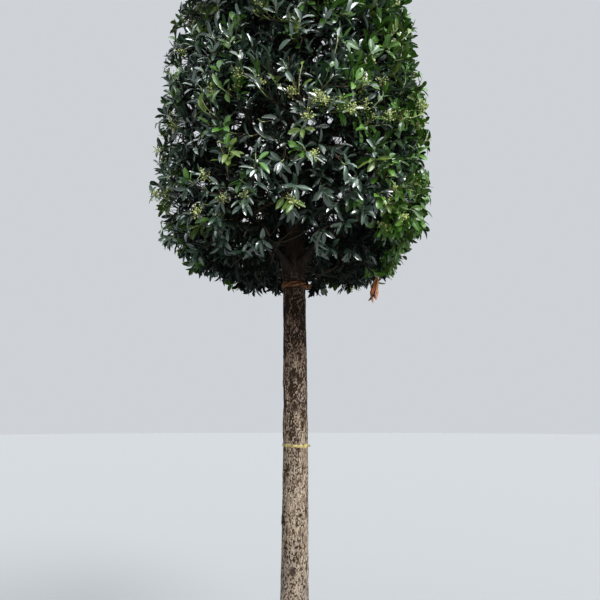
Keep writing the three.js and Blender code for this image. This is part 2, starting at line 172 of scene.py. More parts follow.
def added(name: str, data: bpy.types.ID) -> Object:
    """Makes an object and links it to the scene.

    Args:
        name: Its name.
        data: What it shows.

    Returns:
        The object.
    """
    made = bpy.data.objects.new(name, data)
    bpy.context.scene.collection.objects.link(made)
    return made


def paint(piece: Object, layer: str, values: Array) -> None:
    """Writes one number to each corner of a piece, in a layer that its material reads."""
    attribute = piece.data.attributes.new(layer, "FLOAT", "POINT")
    attribute.data.foreach_set("value", values.astype(np.float32).ravel())


def new_node(
    tree: bpy.types.NodeTree, kind: str, settings: Settings, inputs: Values, output: str | int
) -> NodeSocket:
    """Adds a node to a tree.

    Args:
        tree: The tree.
        kind: The node's type.
        settings: Its properties, set first.
        inputs: Values, or other nodes' sockets, for its own sockets by name or number.
        output: The output that is wanted, by name or number.

    Returns:
        That output.
    """
    made = tree.nodes.new(kind)
    for key, value in (settings or {}).items():
        setattr(made, key, value)
    for key, value in (inputs or {}).items():
        if isinstance(value, NodeSocket):
            tree.links.new(value, made.inputs[key])
        else:
            made.inputs[key].default_value = value
    return made.outputs[output]


class Dice:
    """The solids' repeatable stream of numbers between 0 and 1."""

    def __init__(self, seed: int) -> None:
        """Starts the stream.

        Args:
            seed: The number that it starts from.
        """
        self.state = seed
        for _ in range(4):
            self.roll()

    def roll(self) -> float:
        """Returns the next number between 0 and 1."""
        self.state = self.state * 16807 % 2147483647
        return self.state / 2147483647

    def between(self, low: float, high: float) -> float:
        """Returns the next number between low and high."""
        return low + (high - low) * self.roll()


@dataclass
class Shape:
    """A mesh held in arrays: its corners, and its faces in groups that have as many corners each."""

    corners: Array
    faces: list[Array]
    slots: list[Array] | None = None

    def build(self, name: str, materials: list[Material]) -> Object:
        """Makes the mesh and its object.

        Args:
            name: The piece's name.
            materials: What the face groups' slot numbers choose from.

        Returns:
            The object, linked to the scene, smooth shaded, with its place in its mesh.
        """
        mesh = bpy.data.meshes.new(name)
        loops = np.concatenate([group.ravel() for group in self.faces]).astype(np.int32)
        sizes = np.concatenate([np.full(len(group), group.shape[1]) for group in self.faces])
        starts = np.concatenate([[0], np.cumsum(sizes)[:-1]]).astype(np.int32)
        mesh.vertices.add(len(self.corners))
        mesh.vertices.foreach_set("co", self.corners.astype(np.float32).ravel())
        mesh.loops.add(len(loops))
        mesh.loops.foreach_set("vertex_index", loops)
        mesh.polygons.add(len(sizes))
        mesh.polygons.foreach_set("loop_start", starts)
        mesh.polygons.foreach_set("use_smooth", np.ones(len(sizes), dtype=bool))
        for material in materials:
            mesh.materials.append(material)
        if self.slots is not None:
            mesh.polygons.foreach_set("material_index", np.concatenate(self.slots).astype(np.int32))
        mesh.update(calc_edges=True)
        return added(name, mesh)


def joined(shapes: list[Shape]) -> Shape:
    """Joins shapes into one.

    Args:
        shapes: The shapes. All of them have slot numbers, or none has.

    Returns:
        The whole.
    """
    first, faces, slots = 0, [], []
    for shape in shapes:
        faces += [group + first for group in shape.faces]
        slots += shape.slots or []
        first += len(shape.corners)
    return Shape(np.concatenate([shape.corners for shape in shapes]), faces, slots or None)


def wall_faces(index: Array) -> Array:
    """Lays faces between rows of corners, each of which closes round on itself.

    Args:
        index: The corners' numbers, row by row.

    Returns:
        The corner numbers of each face.
    """
    onward = np.roll(index, -1, axis=-1)
    below, above = index[..., :-1, :], index[..., 1:, :]
    return np.stack([below, onward[..., :-1, :], onward[..., 1:, :], above], axis=-1).reshape(-1, 4)


def lathe(profile: Array, sides: int) -> Shape:
    """Turns a profile about the Z axis.

    Args:
        profile: Rows of radius and height, from the axis below, round the outside, to the axis above.
        sides: How many faces go round.

    Returns:
        The closed shape, its faces pointing outwards.
    """
    turn = even_turns(sides)
    rows = profile[1:-1]
    ring = np.stack([np.cos(turn), np.sin(turn)], axis=-1)
    flat = rows[:, None, :1] * ring[None]
    heights = np.broadcast_to(rows[:, None, 1:], (len(rows), sides, 1))
    corners = np.concatenate([flat, heights], axis=-1).reshape(-1, 3)
    poles = np.array([[0, 0, profile[0, 1]], [0, 0, profile[-1, 1]]])
    index = np.arange(len(corners)).reshape(len(rows), sides)
    first, last = len(corners), len(corners) + 1
    bottom = np.stack([np.full(sides, first), np.roll(index[0], -1), index[0]], axis=-1)
    top = np.stack([np.full(sides, last), index[-1], np.roll(index[-1], -1)], axis=-1)
    return Shape(np.concatenate([corners, poles]), [wall_faces(index), bottom, top])


def sweep(points: Array, radii: Array, sides: int, across: Array | None = None) -> Shape:
    """Carries round sections along many lines at once, each closed at both ends.

    Args:
        points: The lines, as (line, station, 3).
        radii: The section's radius, as (line, station) or, with one to each side, (line, station, side).
        sides: How many faces go round.
        across: The direction that the sections' first corner lies in, one for each line.

    Returns:
        All the tubes as one shape.
    """
    along = unit(np.gradient(points, axis=1))
    if across is None:
        across = np.where(np.abs(along[:, 0, 2:]) > STEEP, SIDEWAYS, UP)
    if radii.ndim == 2:
        radii = radii[..., None]
    side = square_to(np.broadcast_to(across[:, None], along.shape), along)
    other = np.cross(along, side)
    turn = even_turns(sides)
    spokes = np.cos(turn)[:, None] * side[:, :, None] + np.sin(turn)[:, None] * other[:, :, None]
    corners = points[:, :, None] + radii[..., None] * spokes
    index = np.arange(corners.size // 3).reshape(corners.shape[:3])
    ends = np.concatenate([index[:, 0, ::-1], index[:, -1]])
    return Shape(corners.reshape(-1, 3), [wall_faces(index), ends])


class Table:
    """Many things side by side in a dataclass of arrays, one row each."""

    def picked(self, rows: Array) -> Self:
        """Returns what a mask keeps, or what an index array names, in its order and with repeats."""
        return type(self)(*(getattr(self, part)[rows] for part in self.__dataclass_fields__))


@dataclass(frozen=True)
class Bow:
    """A limb's middle line: a curve from its root to its tip, drawn towards an elbow. It may also hold many
    such lines, one row each, and then each has its own share."""

    root: Array
    elbow: Array
    tip: Array

    def point(self, share: Array | float) -> Array:
        """Returns the points at shares of the curve."""
        share = np.asarray(share, dtype=float)[..., None]
        return (1 - share) ** 2 * self.root + 2 * share * (1 - share) * self.elbow + share**2 * self.tip

    def tangent(self, share: Array | float) -> Array:
        """Returns the directions of the curve at shares of it."""
        share = np.asarray(share, dtype=float)[..., None]
        return unit((1 - share) * (self.elbow - self.root) + share * (self.tip - self.elbow))

    def length(self) -> float:
        """Returns how long the curve is."""
        steps = np.diff(self.point(np.linspace(0, 1, 201)), axis=0)
        return float(np.linalg.norm(steps, axis=1).sum())


@dataclass(frozen=True)
class LimbSet(Bow, Table):
    """Many tapering limbs."""

    thick: Array
    thin: Array

    @classmethod
    def of(cls, rows: list[Array]) -> Self:
        """Puts rows of root, elbow, tip, root radius and tip radius together."""
        table = np.array(rows)
        return cls(table[:, 0:3], table[:, 3:6], table[:, 6:9], table[:, 9], table[:, 10])

    def tubes(self, sides: int, rows: int) -> Shape:
        """Returns the limbs' own solid shape.

        Args:
            sides: Faces round each limb.
            rows: Faces along each limb.

        Returns:
            All the limbs as one shape.
        """
        share = np.linspace(0, 1, rows + 1)[None]
        lines = Bow(self.root[:, None], self.elbow[:, None], self.tip[:, None]).point(share)
        return sweep(lines, lerp(self.thick[:, None], self.thin[:, None], share), sides)


class Signal:
    """A shader socket that Python's operators work on: an expression adds its own Math nodes."""

    def __init__(self, surface: "Surface", socket: NodeSocket) -> None:
        """Wraps a socket of a surface's tree."""
        self.surface = surface
        self.socket = socket

    def _worked(self, operation: str, *values: "Signal | float") -> "Signal":
        """Returns the result of one Math node on these values."""
        return self.surface.node("ShaderNodeMath", {"operation": operation}, dict(enumerate(values)))

    def __add__(self, other: "Signal | float") -> "Signal":
        """Returns self + other."""
        return self._worked("ADD", self, other)

    def __radd__(self, other: float) -> "Signal":
        """Returns other + self."""
        return self._worked("ADD", other, self)

    def __sub__(self, other: "Signal | float") -> "Signal":
        """Returns self - other."""
        return self._worked("SUBTRACT", self, other)

    def __rsub__(self, other: float) -> "Signal":
        """Returns other - self."""
        return self._worked("SUBTRACT", other, self)

    def __mul__(self, other: "Signal | float") -> "Signal":
        """Returns self * other."""
        return self._worked("MULTIPLY", self, other)

    def eased(self, low: float, high: float) -> "Signal":
        """Eases from 0, where the signal is at low, to 1, where it is at high, as smooth does."""
        values = {"Value": self, "From Min": low, "From Max": high}
        return self.surface.node("ShaderNodeMapRange", {"interpolation_type": "SMOOTHSTEP"}, values)


class Surface:
    """One material's node tree, with the few kinds of node that the finishes share."""

    def __init__(self, name: str, **constants: float | Colour) -> None:
        """Makes the material.

        Args:
            name: The material's name.
            **constants: Values for the shader's own sockets, the spaces in their names as underscores.
        """
        self.material = bpy.data.materials.new(name)
        self.material.use_nodes = True
        self.tree = self.material.node_tree
        self.shader = self.tree.nodes["Principled BSDF"]
        for key, value in constants.items():
            value = (*value, 1.0) if isinstance(value, tuple) else value
            self.shader.inputs[key.replace("_", " ")].default_value = value

    def node(
        self, kind: str, settings: Settings = None, inputs: Values = None, output: str | int = 0
    ) -> Signal:
        """Adds a node, as new_node does.

        Args:
            kind: The node's type.
            settings: Its properties.
            inputs: Values, or signals, for its own sockets.
            output: The output that is wanted.

        Returns:
            That output as a signal.
        """
        values = (inputs or {}).items()
        plain = {key: value.socket if isinstance(value, Signal) else value for key, value in values}
        return Signal(self, new_node(self.tree, kind, settings, plain, output))

    def place(self, tall: float = 1.0) -> Signal:
        """Reads the object's own coordinates, in metres.

        Args:
            tall: What Z is multiplied by.

        Returns:
            The coordinates as a signal.
        """
        where = self.node("ShaderNodeTexCoord", output="Object")
        values = {"Vector": where, "Scale": (1, 1, tall)}
        return where if tall == 1.0 else self.node("ShaderNodeMapping", None, values)

    def height(self) -> Signal:
        """Returns the height over the ground, in metres."""
        return self.node("ShaderNodeSeparateXYZ", None, {"Vector": self.place()}, "Z")

    def noise(self, scale: float, detail: float, rough: float, tall: float = 1.0) -> Signal:
        """Returns noise from 0 to 1, its scale in waves to the metre. A tall under 1 draws it out in Z."""
        values = {"Vector": self.place(tall), "Scale": scale, "Detail": detail, "Roughness": rough}
        return self.node("ShaderNodeTexNoise", None, values, "Fac")

    def layer(self, name: str) -> Signal:
        """Returns what was painted in a layer of the piece's corners."""
        return self.node("ShaderNodeAttribute", {"attribute_name": name}, output="Fac")

    def mix(self, share: Signal, low: Signal | Colour, high: Signal | Colour) -> Signal:
        """Returns the colour that lies a share of the way from low to high."""
        first, last = (value if isinstance(value, Signal) else (*value, 1.0) for value in (low, high))
        return self.node("ShaderNodeMix", {"data_type": "RGBA"}, {0: share, 6: first, 7: last}, 2)

    def feed(self, socket: str, signal: Signal) -> None:
        """Links a signal to one of the shader's sockets."""
        self.tree.links.new(signal.socket, self.shader.inputs[socket])

    def bump(self, height: Signal, deep: float) -> None:
        """Raises the surface by a height signal, of which 1 stands for that many metres."""
        values = {"Height": height, "Distance": deep, "Strength": 1.0}
        self.feed("Normal", self.node("ShaderNodeBump", None, values, "Normal"))


@dataclass(frozen=True)
class LeafFinish:
    """A waxy leaf, of one plain colour, because its colour belongs to its whole spray."""

    name: str
    colour: Colour
    roughness: float
    shine: float
    wax: float
    wax_roughness: float = 0.14
    wax_ior: float = 1.68

    def material(self) -> Material:
        """Makes the material.

        Returns:
            The leaf colour.
        """
        return Surface(
            self.name,
            Base_Color=self.colour,
            Roughness=self.roughness,
            Specular_IOR_Level=self.shine,
            Coat_Weight=self.wax,
            Coat_Roughness=self.wax_roughness,
            Coat_IOR=self.wax_ior,
        ).material


@dataclass(frozen=True)
class BarkFinish:
    """Holly bark: buff, thickly flecked with dark brown; then browner and darker upwards, partly the bark's
    own brown and partly painted shade from the crown; and nearly black under the crown, which is painted
    shade.
    """

    name: str
    pale: Colour = (0.36, 0.295, 0.222)
    tan: Colour = (0.182, 0.126, 0.089)
    # The brown pair: partly the bark's own brown, partly painted shade from the crown above.
    brown_pale: Colour = (0.21, 0.141, 0.103)
    brown: Colour = (0.067, 0.039, 0.026)
    grey: Colour = (0.2, 0.168, 0.145)
    fleck: Colour = (0.026, 0.013, 0.0055)
    deep_fleck: Colour = (0.012, 0.0065, 0.0035)
    knot: Colour = (0.018, 0.0095, 0.005)
    # Painted shade: the near-black of the bark under the crown.
    shade: Colour = (0.034, 0.023, 0.018)
    moss: Colour = (0.085, 0.095, 0.04)
    brown_heights: Span = (1.54, 1.89)
    shade_heights: Span = (2.04, 2.3)
    moss_heights: Span = (0.85, 0.6)
    dense_heights: Span = (1.2, 1.55)
    sparse_heights: Span = (0.98, 0.8)
    blotch_heights: Span = (1.28, 1.55)
    fibre_stops: Span = (0.38, 0.6)
    grey_stops: Span = (0.46, 0.62)
    gather_stops: Span = (0.32, 0.54)
    worm_stops: Span = (0.465, 0.58)
    crumb_stops: Span = (0.5, 0.61)
    blotch_stops: Span = (0.56, 0.65)

    def material(self) -> Material:
        """Makes the material.

        Returns:
            The bark.
        """
        surface = Surface(self.name, Roughness=0.9, Specular_IOR_Level=0.1)
        fibres = surface.noise(150, detail=5, rough=0.65, tall=0.22)
        patches = surface.noise(15, detail=4, rough=0.6, tall=0.5)
        worms = surface.noise(140, detail=2, rough=0.5, tall=0.6)
        crumbs = surface.noise(290, detail=2, rough=0.5, tall=0.75)
        blotches = surface.noise(36, detail=5, rough=0.75, tall=0.3)
        height = surface.height() + (patches - 0.5) * 0.3
        # Browner and darker upwards, with darker flecks: partly the bark's own colour, partly painted shade
        # from the crown.
        higher = height.eased(*self.brown_heights)
        pairs = ((self.pale, self.brown_pale), (self.tan, self.brown))
        light, dark = (surface.mix(higher, *pair) for pair in pairs)
        colour = surface.mix(fibres.eased(*self.fibre_stops), dark, light)
        colour = surface.mix(patches.eased(*self.grey_stops) * (1 - higher) * 0.6, colour, self.grey)
        cover = height.eased(*self.dense_heights) * 0.035 - height.eased(*self.sparse_heights) * 0.025
        gathered = worms + cover
        flecks = gathered.eased(*self.worm_stops) * (0.3 + patches.eased(*self.gather_stops) * 0.75)
        flecks = flecks + (crumbs + cover).eased(*self.crumb_stops) * 0.6
        blots = blotches + height.eased(*self.blotch_heights) * 0.06
        flecks = flecks + blots.eased(*self.blotch_stops) * 0.95
        dark_fleck = surface.mix(higher, self.fleck, self.deep_fleck)
        colour = surface.mix(flecks.eased(0.0, 1.15), colour, dark_fleck)
        low_moss = height.eased(*self.moss_heights) * blotches.eased(0.5, 0.62) * 0.45
        colour = surface.mix(low_moss, colour, self.moss)
        knots = surface.layer(KNOT_LAYER)
        colour = surface.mix((knots * (0.6 + crumbs * 0.8)).eased(0.15, 0.8) * 0.85, colour, self.knot)
        # Painted shade: over these heights the bark darkens to nearly black under the crown.
        shaded = surface.height().eased(*self.shade_heights) * 0.85
        surface.feed("Base Color", surface.mix(shaded, colour, self.shade))
        surface.bump(fibres * 0.8 + crumbs * 0.3 - flecks * 0.5, 0.0022)
        return surface.material


@dataclass(frozen=True)
class WoodFinish:
    """The skin of boughs and twigs: one colour that another breaks up in short streaks."""

    name: str
    colour: Colour
    streak: Colour
    scale: float = 70.0
    roughness: float = 0.75

    def material(self) -> Material:
        """Makes the material.

        Returns:
            The skin.
        """
        surface = Surface(self.name, Roughness=self.roughness, Specular_IOR_Level=0.12)
        streaks = surface.noise(self.scale, detail=4, rough=0.6)
        surface.feed("Base Color", surface.mix(streaks.eased(0.4, 0.62), self.colour, self.streak))
        surface.bump(streaks, 0.001)
        return surface.material


@dataclass(frozen=True)
class PlainFinish:
    """A small part of one plain colour, as a shoot, a bud or a leaf's rib is."""

    name: str
    colour: Colour
    roughness: float

    def material(self) -> Material:
        """Makes the material."""
        return Surface(self.name, Base_Color=self.colour, Roughness=self.roughness).material


@dataclass(frozen=True)
class PotFinish:
    """Black moulded plastic, dusty towards the foot, with the marks of dried runs of water."""

    name: str = "pot_black_plastic"
    plastic: Colour = (0.007, 0.0075, 0.009)
    faded: Colour = (0.014, 0.015, 0.018)
    dust: Colour = (0.17, 0.145, 0.115)
    dust_heights: Span = (0.13, -0.02)

    def material(self) -> Material:
        """Makes the material.

        Returns:
            The pot's plastic.
        """
        surface = Surface(self.name, Specular_IOR_Level=0.22)
        cloud = surface.noise(7, detail=5, rough=0.6)
        grain = surface.noise(420, detail=2, rough=0.5)
        runs = surface.noise(34, detail=5, rough=0.65, tall=0.16)
        colour = surface.mix(cloud.eased(0.35, 0.7), self.plastic, self.faded)
        low = surface.height() + (cloud - 0.5) * 0.3
        dusty = low.eased(*self.dust_heights) * 0.45 + runs.eased(0.5, 0.74) * 0.13
        surface.feed("Base Color", surface.mix(dusty, colour, self.dust))
        surface.feed("Roughness", 0.4 + dusty * 0.5 + grain * 0.12)
        surface.bump(grain * 0.7 + runs * 0.3, 0.00035)
        return surface.material


@dataclass(frozen=True)
class EarthFinish:
    """Compost, or the chips and litter on it: crumbs of a dark, a middle and a pale brown."""

    name: str
    dark: Colour
    middle: Colour
    pale: Colour
    scale: float = 90.0
    deep: float = 0.004

    def material(self) -> Material:
        """Makes the material.

        Returns:
            The crumbs.
        """
        surface = Surface(self.name, Roughness=0.92, Specular_IOR_Level=0.2)
        crumbs = surface.noise(self.scale, detail=6, rough=0.7)
        drift = surface.noise(0.14 * self.scale, detail=3, rough=0.5)
        colour = surface.mix(crumbs.eased(0.36, 0.58), self.dark, self.middle)
        colour = surface.mix(drift.eased(0.42, 0.66) * 0.7, colour, self.pale)
        surface.feed("Base Color", colour)
        surface.bump(crumbs, self.deep)
        return surface.material


@dataclass(frozen=True)
class StrapFinish:
    """A rag of woven webbing: paler along the tops of its folds, a painted highlight, and dark between them,
    with painted shade as well as soil.
    """

    name: str
    colour: Colour
    worn: Colour
    # The dark of soil in patches, and of painted shade in the hollows between the folds.
    soil: Colour = (0.012, 0.0065, 0.004)
    ribs: float = 420.0

    def material(self) -> Material:
        """Makes the material.

        Returns:
            The webbing.
        """
        surface = Surface(self.name, Roughness=0.85, Specular_IOR_Level=0.15)
        folds = surface.layer(FOLD_LAYER)
        settings = {"wave_type": "BANDS", "bands_direction": "Z"}
        values = {"Vector": surface.place(), "Scale": self.ribs / math.tau, "Distortion": 0.6}
        weft = surface.node("ShaderNodeTexWave", settings, values, "Fac")
        soil = surface.noise(55, detail=5, rough=0.65)
        # Painted highlight: the fold tops are painted paler.
        colour = surface.mix(folds.eased(0.6, 0.85) * (0.6 + weft * 0.4), self.colour, self.worn)
        # Painted shade between the folds, with real soil in patches.
        hidden = folds.eased(0.6, 0.35) * 0.9 + soil.eased(0.46, 0.64) * 0.65
        surface.feed("Base Color", surface.mix(hidden.eased(0, 1), colour, self.soil))
        surface.bump(weft, 0.0005)
        return surface.material


@dataclass(frozen=True)
class TapeFinish:
    """Thin yellow marker tape, a little shiny, with grime in its creases."""

    name: str = "tape_yellow_plastic"
    colour: Colour = (0.42, 0.34, 0.13)
    grime: Colour = (0.17, 0.125, 0.055)

    def material(self) -> Material:
        """Makes the material.

        Returns:
            The tape's plastic.
        """
        surface = Surface(self.name, Specular_IOR_Level=0.3)
        soil = surface.noise(75, detail=5, rough=0.6, tall=0.5)
        surface.feed("Base Color", surface.mix(soil.eased(0.42, 0.62), self.colour, self.grime))
        surface.feed("Roughness", 0.38 + soil * 0.3)
        surface.bump(soil, 0.0006)
        return surface.material


@dataclass(frozen=True)
class Trunk:
    """The stem and the leader that it runs on as, from the flat cut on the compost to the tip."""

    foot: float = field(default_factory=lambda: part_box("trunk")[0].z)
    tip: float = field(default_factory=lambda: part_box("trunk")[1].z)
    crown_base: float = 2.085
    stem_radius: float = 0.062
    crown_base_radius: float = 0.054
    tip_radius: float = 0.009
    leader_power: float = 0.8
    swell: float = 0.005
    swell_rise: float = 0.13
    swell_spread: float = 0.11
    flare: float = 0.024
    flare_height: float = 0.085
    lobes: int = 5
    lobe_depth: float = 0.5
    lobe_turn: float = 0.6
    bow: float = 0.007
    sides: int = 84
    clear_step: float = 0.0054
    hidden_step: float = 0.02
    past_base: float = 0.15
    noise_radius: float = 0.06
    wave: float = 0.0022
    wave_scale: float = 19.0
    wave_tall: float = 0.45
    ridge: float = 0.0009
    ridge_scale: float = 95.0
    ridge_tall: float = 0.3
    lenticels: int = 1500
    lenticel_depth: Span = (-0.0016, 0.0013)
    scar_lip: float = 0.0035
    lip_width: float = 0.28
    scar_pit: float = 0.004
    pit_width: float = 0.6
    knot_width: float = 0.9
    scar_tall: float = 0.8
    scars: tuple[Triple, ...] = (  # each with its height, the angle that it faces and its radius
        (0.838, -1.72, 0.019),
        (0.85, -1.05, 0.009),
        (0.99, -0.95, 0.01),
        (1.545, -1.58, 0.023),
        (1.7, -1.72, 0.02),
        (1.24, 0.9, 0.022),
        (1.71, 2.6, 0.018),
        (1.05, 3.6, 0.02),
        (1.93, -0.7, 0.016),
        (1.4, 1.9, 0.019),
    )

    def clear_share(self, height: Array | float) -> Array:
        """Returns how far up the clear stem heights are, from 0 at its foot to 1 at the crown."""
        return np.clip((np.asarray(height) - self.foot) / (self.crown_base - self.foot), 0, 1)

    def line(self, height: Array | float) -> Array:
        """Returns the middle of the stem at heights."""
        across = self.bow * np.sin(np.pi * self.clear_share(height))
        return np.stack([across, np.zeros_like(across), np.broadcast_to(height, across.shape)], axis=-1)

    def radius(self, height: Array | float) -> Array:
        """Works out the stem's mean radius.

        Args:
            height: One height or many.

        Returns:
            The radius at each.
        """
        height = np.asarray(height, dtype=float)
        above = np.clip((height - self.crown_base) / (self.tip - self.crown_base), 0, 1)
        over = (height - self.crown_base - self.swell_rise) / self.swell_spread
        swell = self.swell * np.exp(-(over**2))
        leader = lerp(self.crown_base_radius, self.tip_radius, above**self.leader_power) + swell
        stem = lerp(self.stem_radius, self.crown_base_radius, self.clear_share(height))
        flare = self.flare * np.exp(-(height - self.foot) / self.flare_height)
        return np.where(height > self.crown_base, leader, stem + flare)

    def skin(self, height: Array, turn: Array) -> Array:
        """Returns the smooth skin's radius at heights and angles, with the lobes of the root flare."""
        lobe = self.flare * self.lobe_depth * np.exp(-(height - self.foot) / self.flare_height)
        return self.radius(height) + lobe * np.cos(self.lobes * turn + self.lobe_turn)

    def away(self, points: Array) -> Array:
        """Returns how far points lie from the middle of the stem at their height."""
        return from_axis(points - self.line(points[..., 2]))

    def relief(self, heights: Array, turns: Array) -> Array:
        """Works out how far the bark stands out of the smooth skin.

        Args:
            heights: The rows' heights.
            turns: The angles of the corners in a row.

        Returns:
            One depth for each row and corner.
        """
        turn, height = np.meshgrid(turns, heights)
        around = [self.noise_radius * np.cos(turn), self.noise_radius * np.sin(turn), height]
        places = np.stack(around, axis=-1).reshape(-1, 3)
        waves = noise_at(places * [1, 1, self.wave_tall], self.wave_scale).reshape(height.shape)
        ridges = noise_at(places * [1, 1, self.ridge_tall], self.ridge_scale).reshape(height.shape)
        depth = self.wave * waves + self.ridge * ridges
        rng = np.random.default_rng(BARK_SEED)
        row_count = int((self.crown_base - self.foot) / self.clear_step)
        for _ in range(self.lenticels):
            row, corner = rng.integers(row_count), rng.integers(self.sides)
            tall, size = rng.integers(1, 3), rng.uniform(*self.lenticel_depth)
            rows = np.arange(max(0, row - tall), min(len(heights), row + tall + 1))
            depth[rows, corner] += size
            depth[rows, (corner + 1) % self.sides] += 0.5 * size
        for away in self.from_scars(height, turn):
            lip = np.exp(-(((away - 1) / self.lip_width) ** 2))
            pit = np.exp(-((away / self.pit_width) ** 2))
            depth += self.scar_lip * lip - self.scar_pit * pit
        return depth

    def from_scars(self, height: Array, turn: Array) -> list[Array]:
        """Measures how far corners lie from the scars.

        Args:
            height: The corners' heights.
            turn: Their angles.

        Returns:
            The distances, scar by scar, its radius counting as 1.
        """
        found = []
        for at, facing, size in self.scars:
            gap = np.angle(np.exp(1j * (turn - facing))) * self.stem_radius
            found.append(np.hypot(gap, self.scar_tall * (height - at)) / size)
        return found

    def build(self, material: Material) -> Object:
        """Makes the stem's mesh with the bark's relief.

        Args:
            material: The bark.

        Returns:
            The piece.
        """
        clear = np.arange(self.foot, self.crown_base + self.past_base, self.clear_step)
        hidden = np.arange(clear[-1] + self.hidden_step, self.tip, self.hidden_step)
        heights = np.concatenate([clear, hidden, [self.tip]])
        turns = even_turns(self.sides)
        turn, height = np.meshgrid(turns, heights)
        shallow = smooth(self.tip, self.crown_base, height)
        radii = self.skin(height, turn) + self.relief(heights, turns) * shallow
        spokes = np.stack([np.cos(turn), np.sin(turn), np.zeros_like(turn)], axis=-1)
        corners = self.line(heights)[:, None] + radii[..., None] * spokes
        index = np.arange(turn.size).reshape(turn.shape)
        ends = np.stack([index[0, ::-1], index[-1]])
        piece = Shape(corners.reshape(-1, 3), [wall_faces(index), ends]).build("trunk_bark", [material])
        knots = [np.exp(-((away / self.knot_width) ** 2)) for away in self.from_scars(height, turn)]
        paint(piece, KNOT_LAYER, sum(knots))
        return piece


@dataclass(frozen=True)
class Outline:
    """The crown's outline: a radius at each height."""

    bottom: float = 2.085
    widest: float = 2.58
    top: float = 4.2
    radius: float = 0.7
    underside_power: float = 2.6
    dome_power: float = 2.5
    lump_depth: float = 0.18
    lump_scale: float = 3.6
    tuft_scale: float = 9.0
    side_share: float = 0.45
    side_waves: Span = (0.65, 0.75)
    skirt_depth: float = 0.24
    skirt_share: float = 0.2
    skirt_waves: Span = (0.7, 0.8)
    first_spots: float = 1.5

    def radius_at(self, height: Array | float) -> Array:
        """Works out the outline's radius.

        Args:
            height: One height or many.

        Returns:
            The radius at each.
        """
        height = np.asarray(height, dtype=float)
        down = np.clip((self.widest - height) / (self.widest - self.bottom), 0, 1)
        up = np.clip((height - self.widest) / (self.top - self.widest), 0, 1)
        return self.radius * np.sqrt((1 - down**self.underside_power) * (1 - up**self.dome_power))

    def share(self, points: Array) -> Array:
        """Returns how far out points lie, as a share of the outline's radius at their height."""
        return from_axis(points) / np.maximum(self.radius_at(points[..., 2]), 1e-4)

    def _waves(self, points: Array, strengths: Span) -> Array:
        """Returns the long and the short waves of the outline at points, added with these strengths."""
        long, short = strengths
        return long * noise_at(points, self.lump_scale) + short * noise_at(points, self.tuft_scale)

    def dents(self, points: Array) -> Array:
        """Returns how deep the outline is dented between tufts of foliage, as shares of its radius."""
        return self.lump_depth * np.clip(self.side_share + self._waves(points, self.side_waves), 0, 1)

    def _arch(self, points: Array, end: float, power: float) -> Array:
        """Returns the height over points of the smooth dome or underside, which ends at a height."""
        away = np.clip(from_axis(points) / self.radius, 0, 1)
        return self.widest + (end - self.widest) * (1 - away**2) ** (1 / power)

    def buried(self, points: Array) -> Array:
        """Returns how deep points lie under the outline's sides or its top, as shares of its radius."""
        top = self._arch(points, self.top, self.dome_power)
        return np.minimum(1 - self.share(points), (top - points[..., 2]) / self.radius)

    def lumpy_share(self, points: Array) -> Array:
        """Returns how far out points lie, as a share of the radius of the outline with its dents."""
        return self.share(points) / (1 - self.dents(points))

    def skirt(self, points: Array) -> Array:
        """Returns the height of the ragged underside at points, given by their X and Y."""
        waves = np.clip(self.skirt_share + self._waves(points * [1, 1, 0], self.skirt_waves), 0, 1)
        return self._arch(points, self.bottom, self.underside_power) + self.skirt_depth * waves

    def spots(self, step: float, depth: float) -> Array:
        """Spaces places evenly under the outline, ring by ring from its foot to its top.

        Args:
            step: How far apart they are.
            depth: How far under the dented outline they lie.

        Returns:
            The places, one row each.
        """
        heights = np.linspace(self.bottom, self.top, 600)
        radii = self.radius_at(heights)
        along = np.concatenate([[0], np.cumsum(np.hypot(np.diff(heights), np.diff(radii)))])
        rings = []
        for number, at in enumerate(np.arange(self.first_spots * step, along[-1], step)):
            radius, height = (float(np.interp(at, along, values)) for values in (radii, heights))
            count = max(3, round(math.tau * radius / step))
            turn = math.tau * (np.arange(count) + 0.5 * (number % 2)) / count
            rings.append(np.stack([radius * np.cos(turn), radius * np.sin(turn), height + 0 * turn], axis=-1))
        points = np.concatenate(rings)
        middle = points * [0, 0, 1]
        middle[:, 2] = np.clip(points[:, 2], self.widest, self.top - self.radius)
        out = points - middle
        sunk = depth + self.radius * self.dents(points)[:, None]
        return middle + out * (1 - sunk / np.linalg.norm(out, axis=1, keepdims=True))


@dataclass(frozen=True)
class Ring:
    """One ring of boughs. A mass is centred "out" from the trunk at height "heart", its bough leaves the
    trunk at height "root" with radius "thick", and every second mass sits lower by the stagger."""

    name: str
    count: int
    turn: float
    out: float
    heart: float
    stagger: float
    root: float
    thick: float


RINGS = (
    Ring("low", 5, 0.3, 0.415, 2.4, 0.04, 2.215, 0.019),
    Ring("middle", 5, 0.95, 0.425, 2.835, 0.095, 2.55, 0.017),
    Ring("high", 4, 0.35, 0.385, 3.285, 0.06, 2.975, 0.014),
    Ring("upper", 3, 1.1, 0.265, 3.655, 0.03, 3.37, 0.0105),
)


@dataclass(frozen=True)
class TwigRule:
    """How twigs spread from a mass's stem: the first aims straight on and the last somewhat backwards."""

    count: int
    backmost: float
    reach: Span
    most: float
    least: float
    roots: Span
    jitter: float
    root_radius: float
    tip_radius: float
    overlap: float = 0.0


SOLID_TWIGS = TwigRule(
    count=7,
    backmost=-0.35,
    reach=(0.81, 0.9),
    most=0.39,
    least=0.06,
    roots=(0.95, 0.25),
    jitter=0.3,
    root_radius=0.0056,
    tip_radius=0.0022,
)
FINE_TWIGS = TwigRule(
    count=34,
    backmost=-0.85,
    reach=(0.66, 0.95),
    most=0.6,
    least=0.05,
    roots=(0.9, 0.05),
    jitter=0.9,
    root_radius=0.004,
    tip_radius=0.0016,
    overlap=0.06,
)


@dataclass(frozen=True)
class Mass:
    """One mass of foliage: its heart, and the curve whose part beyond "start" is its stem."""

    heart: Array
    limb: Bow
    start: float
    thick: float


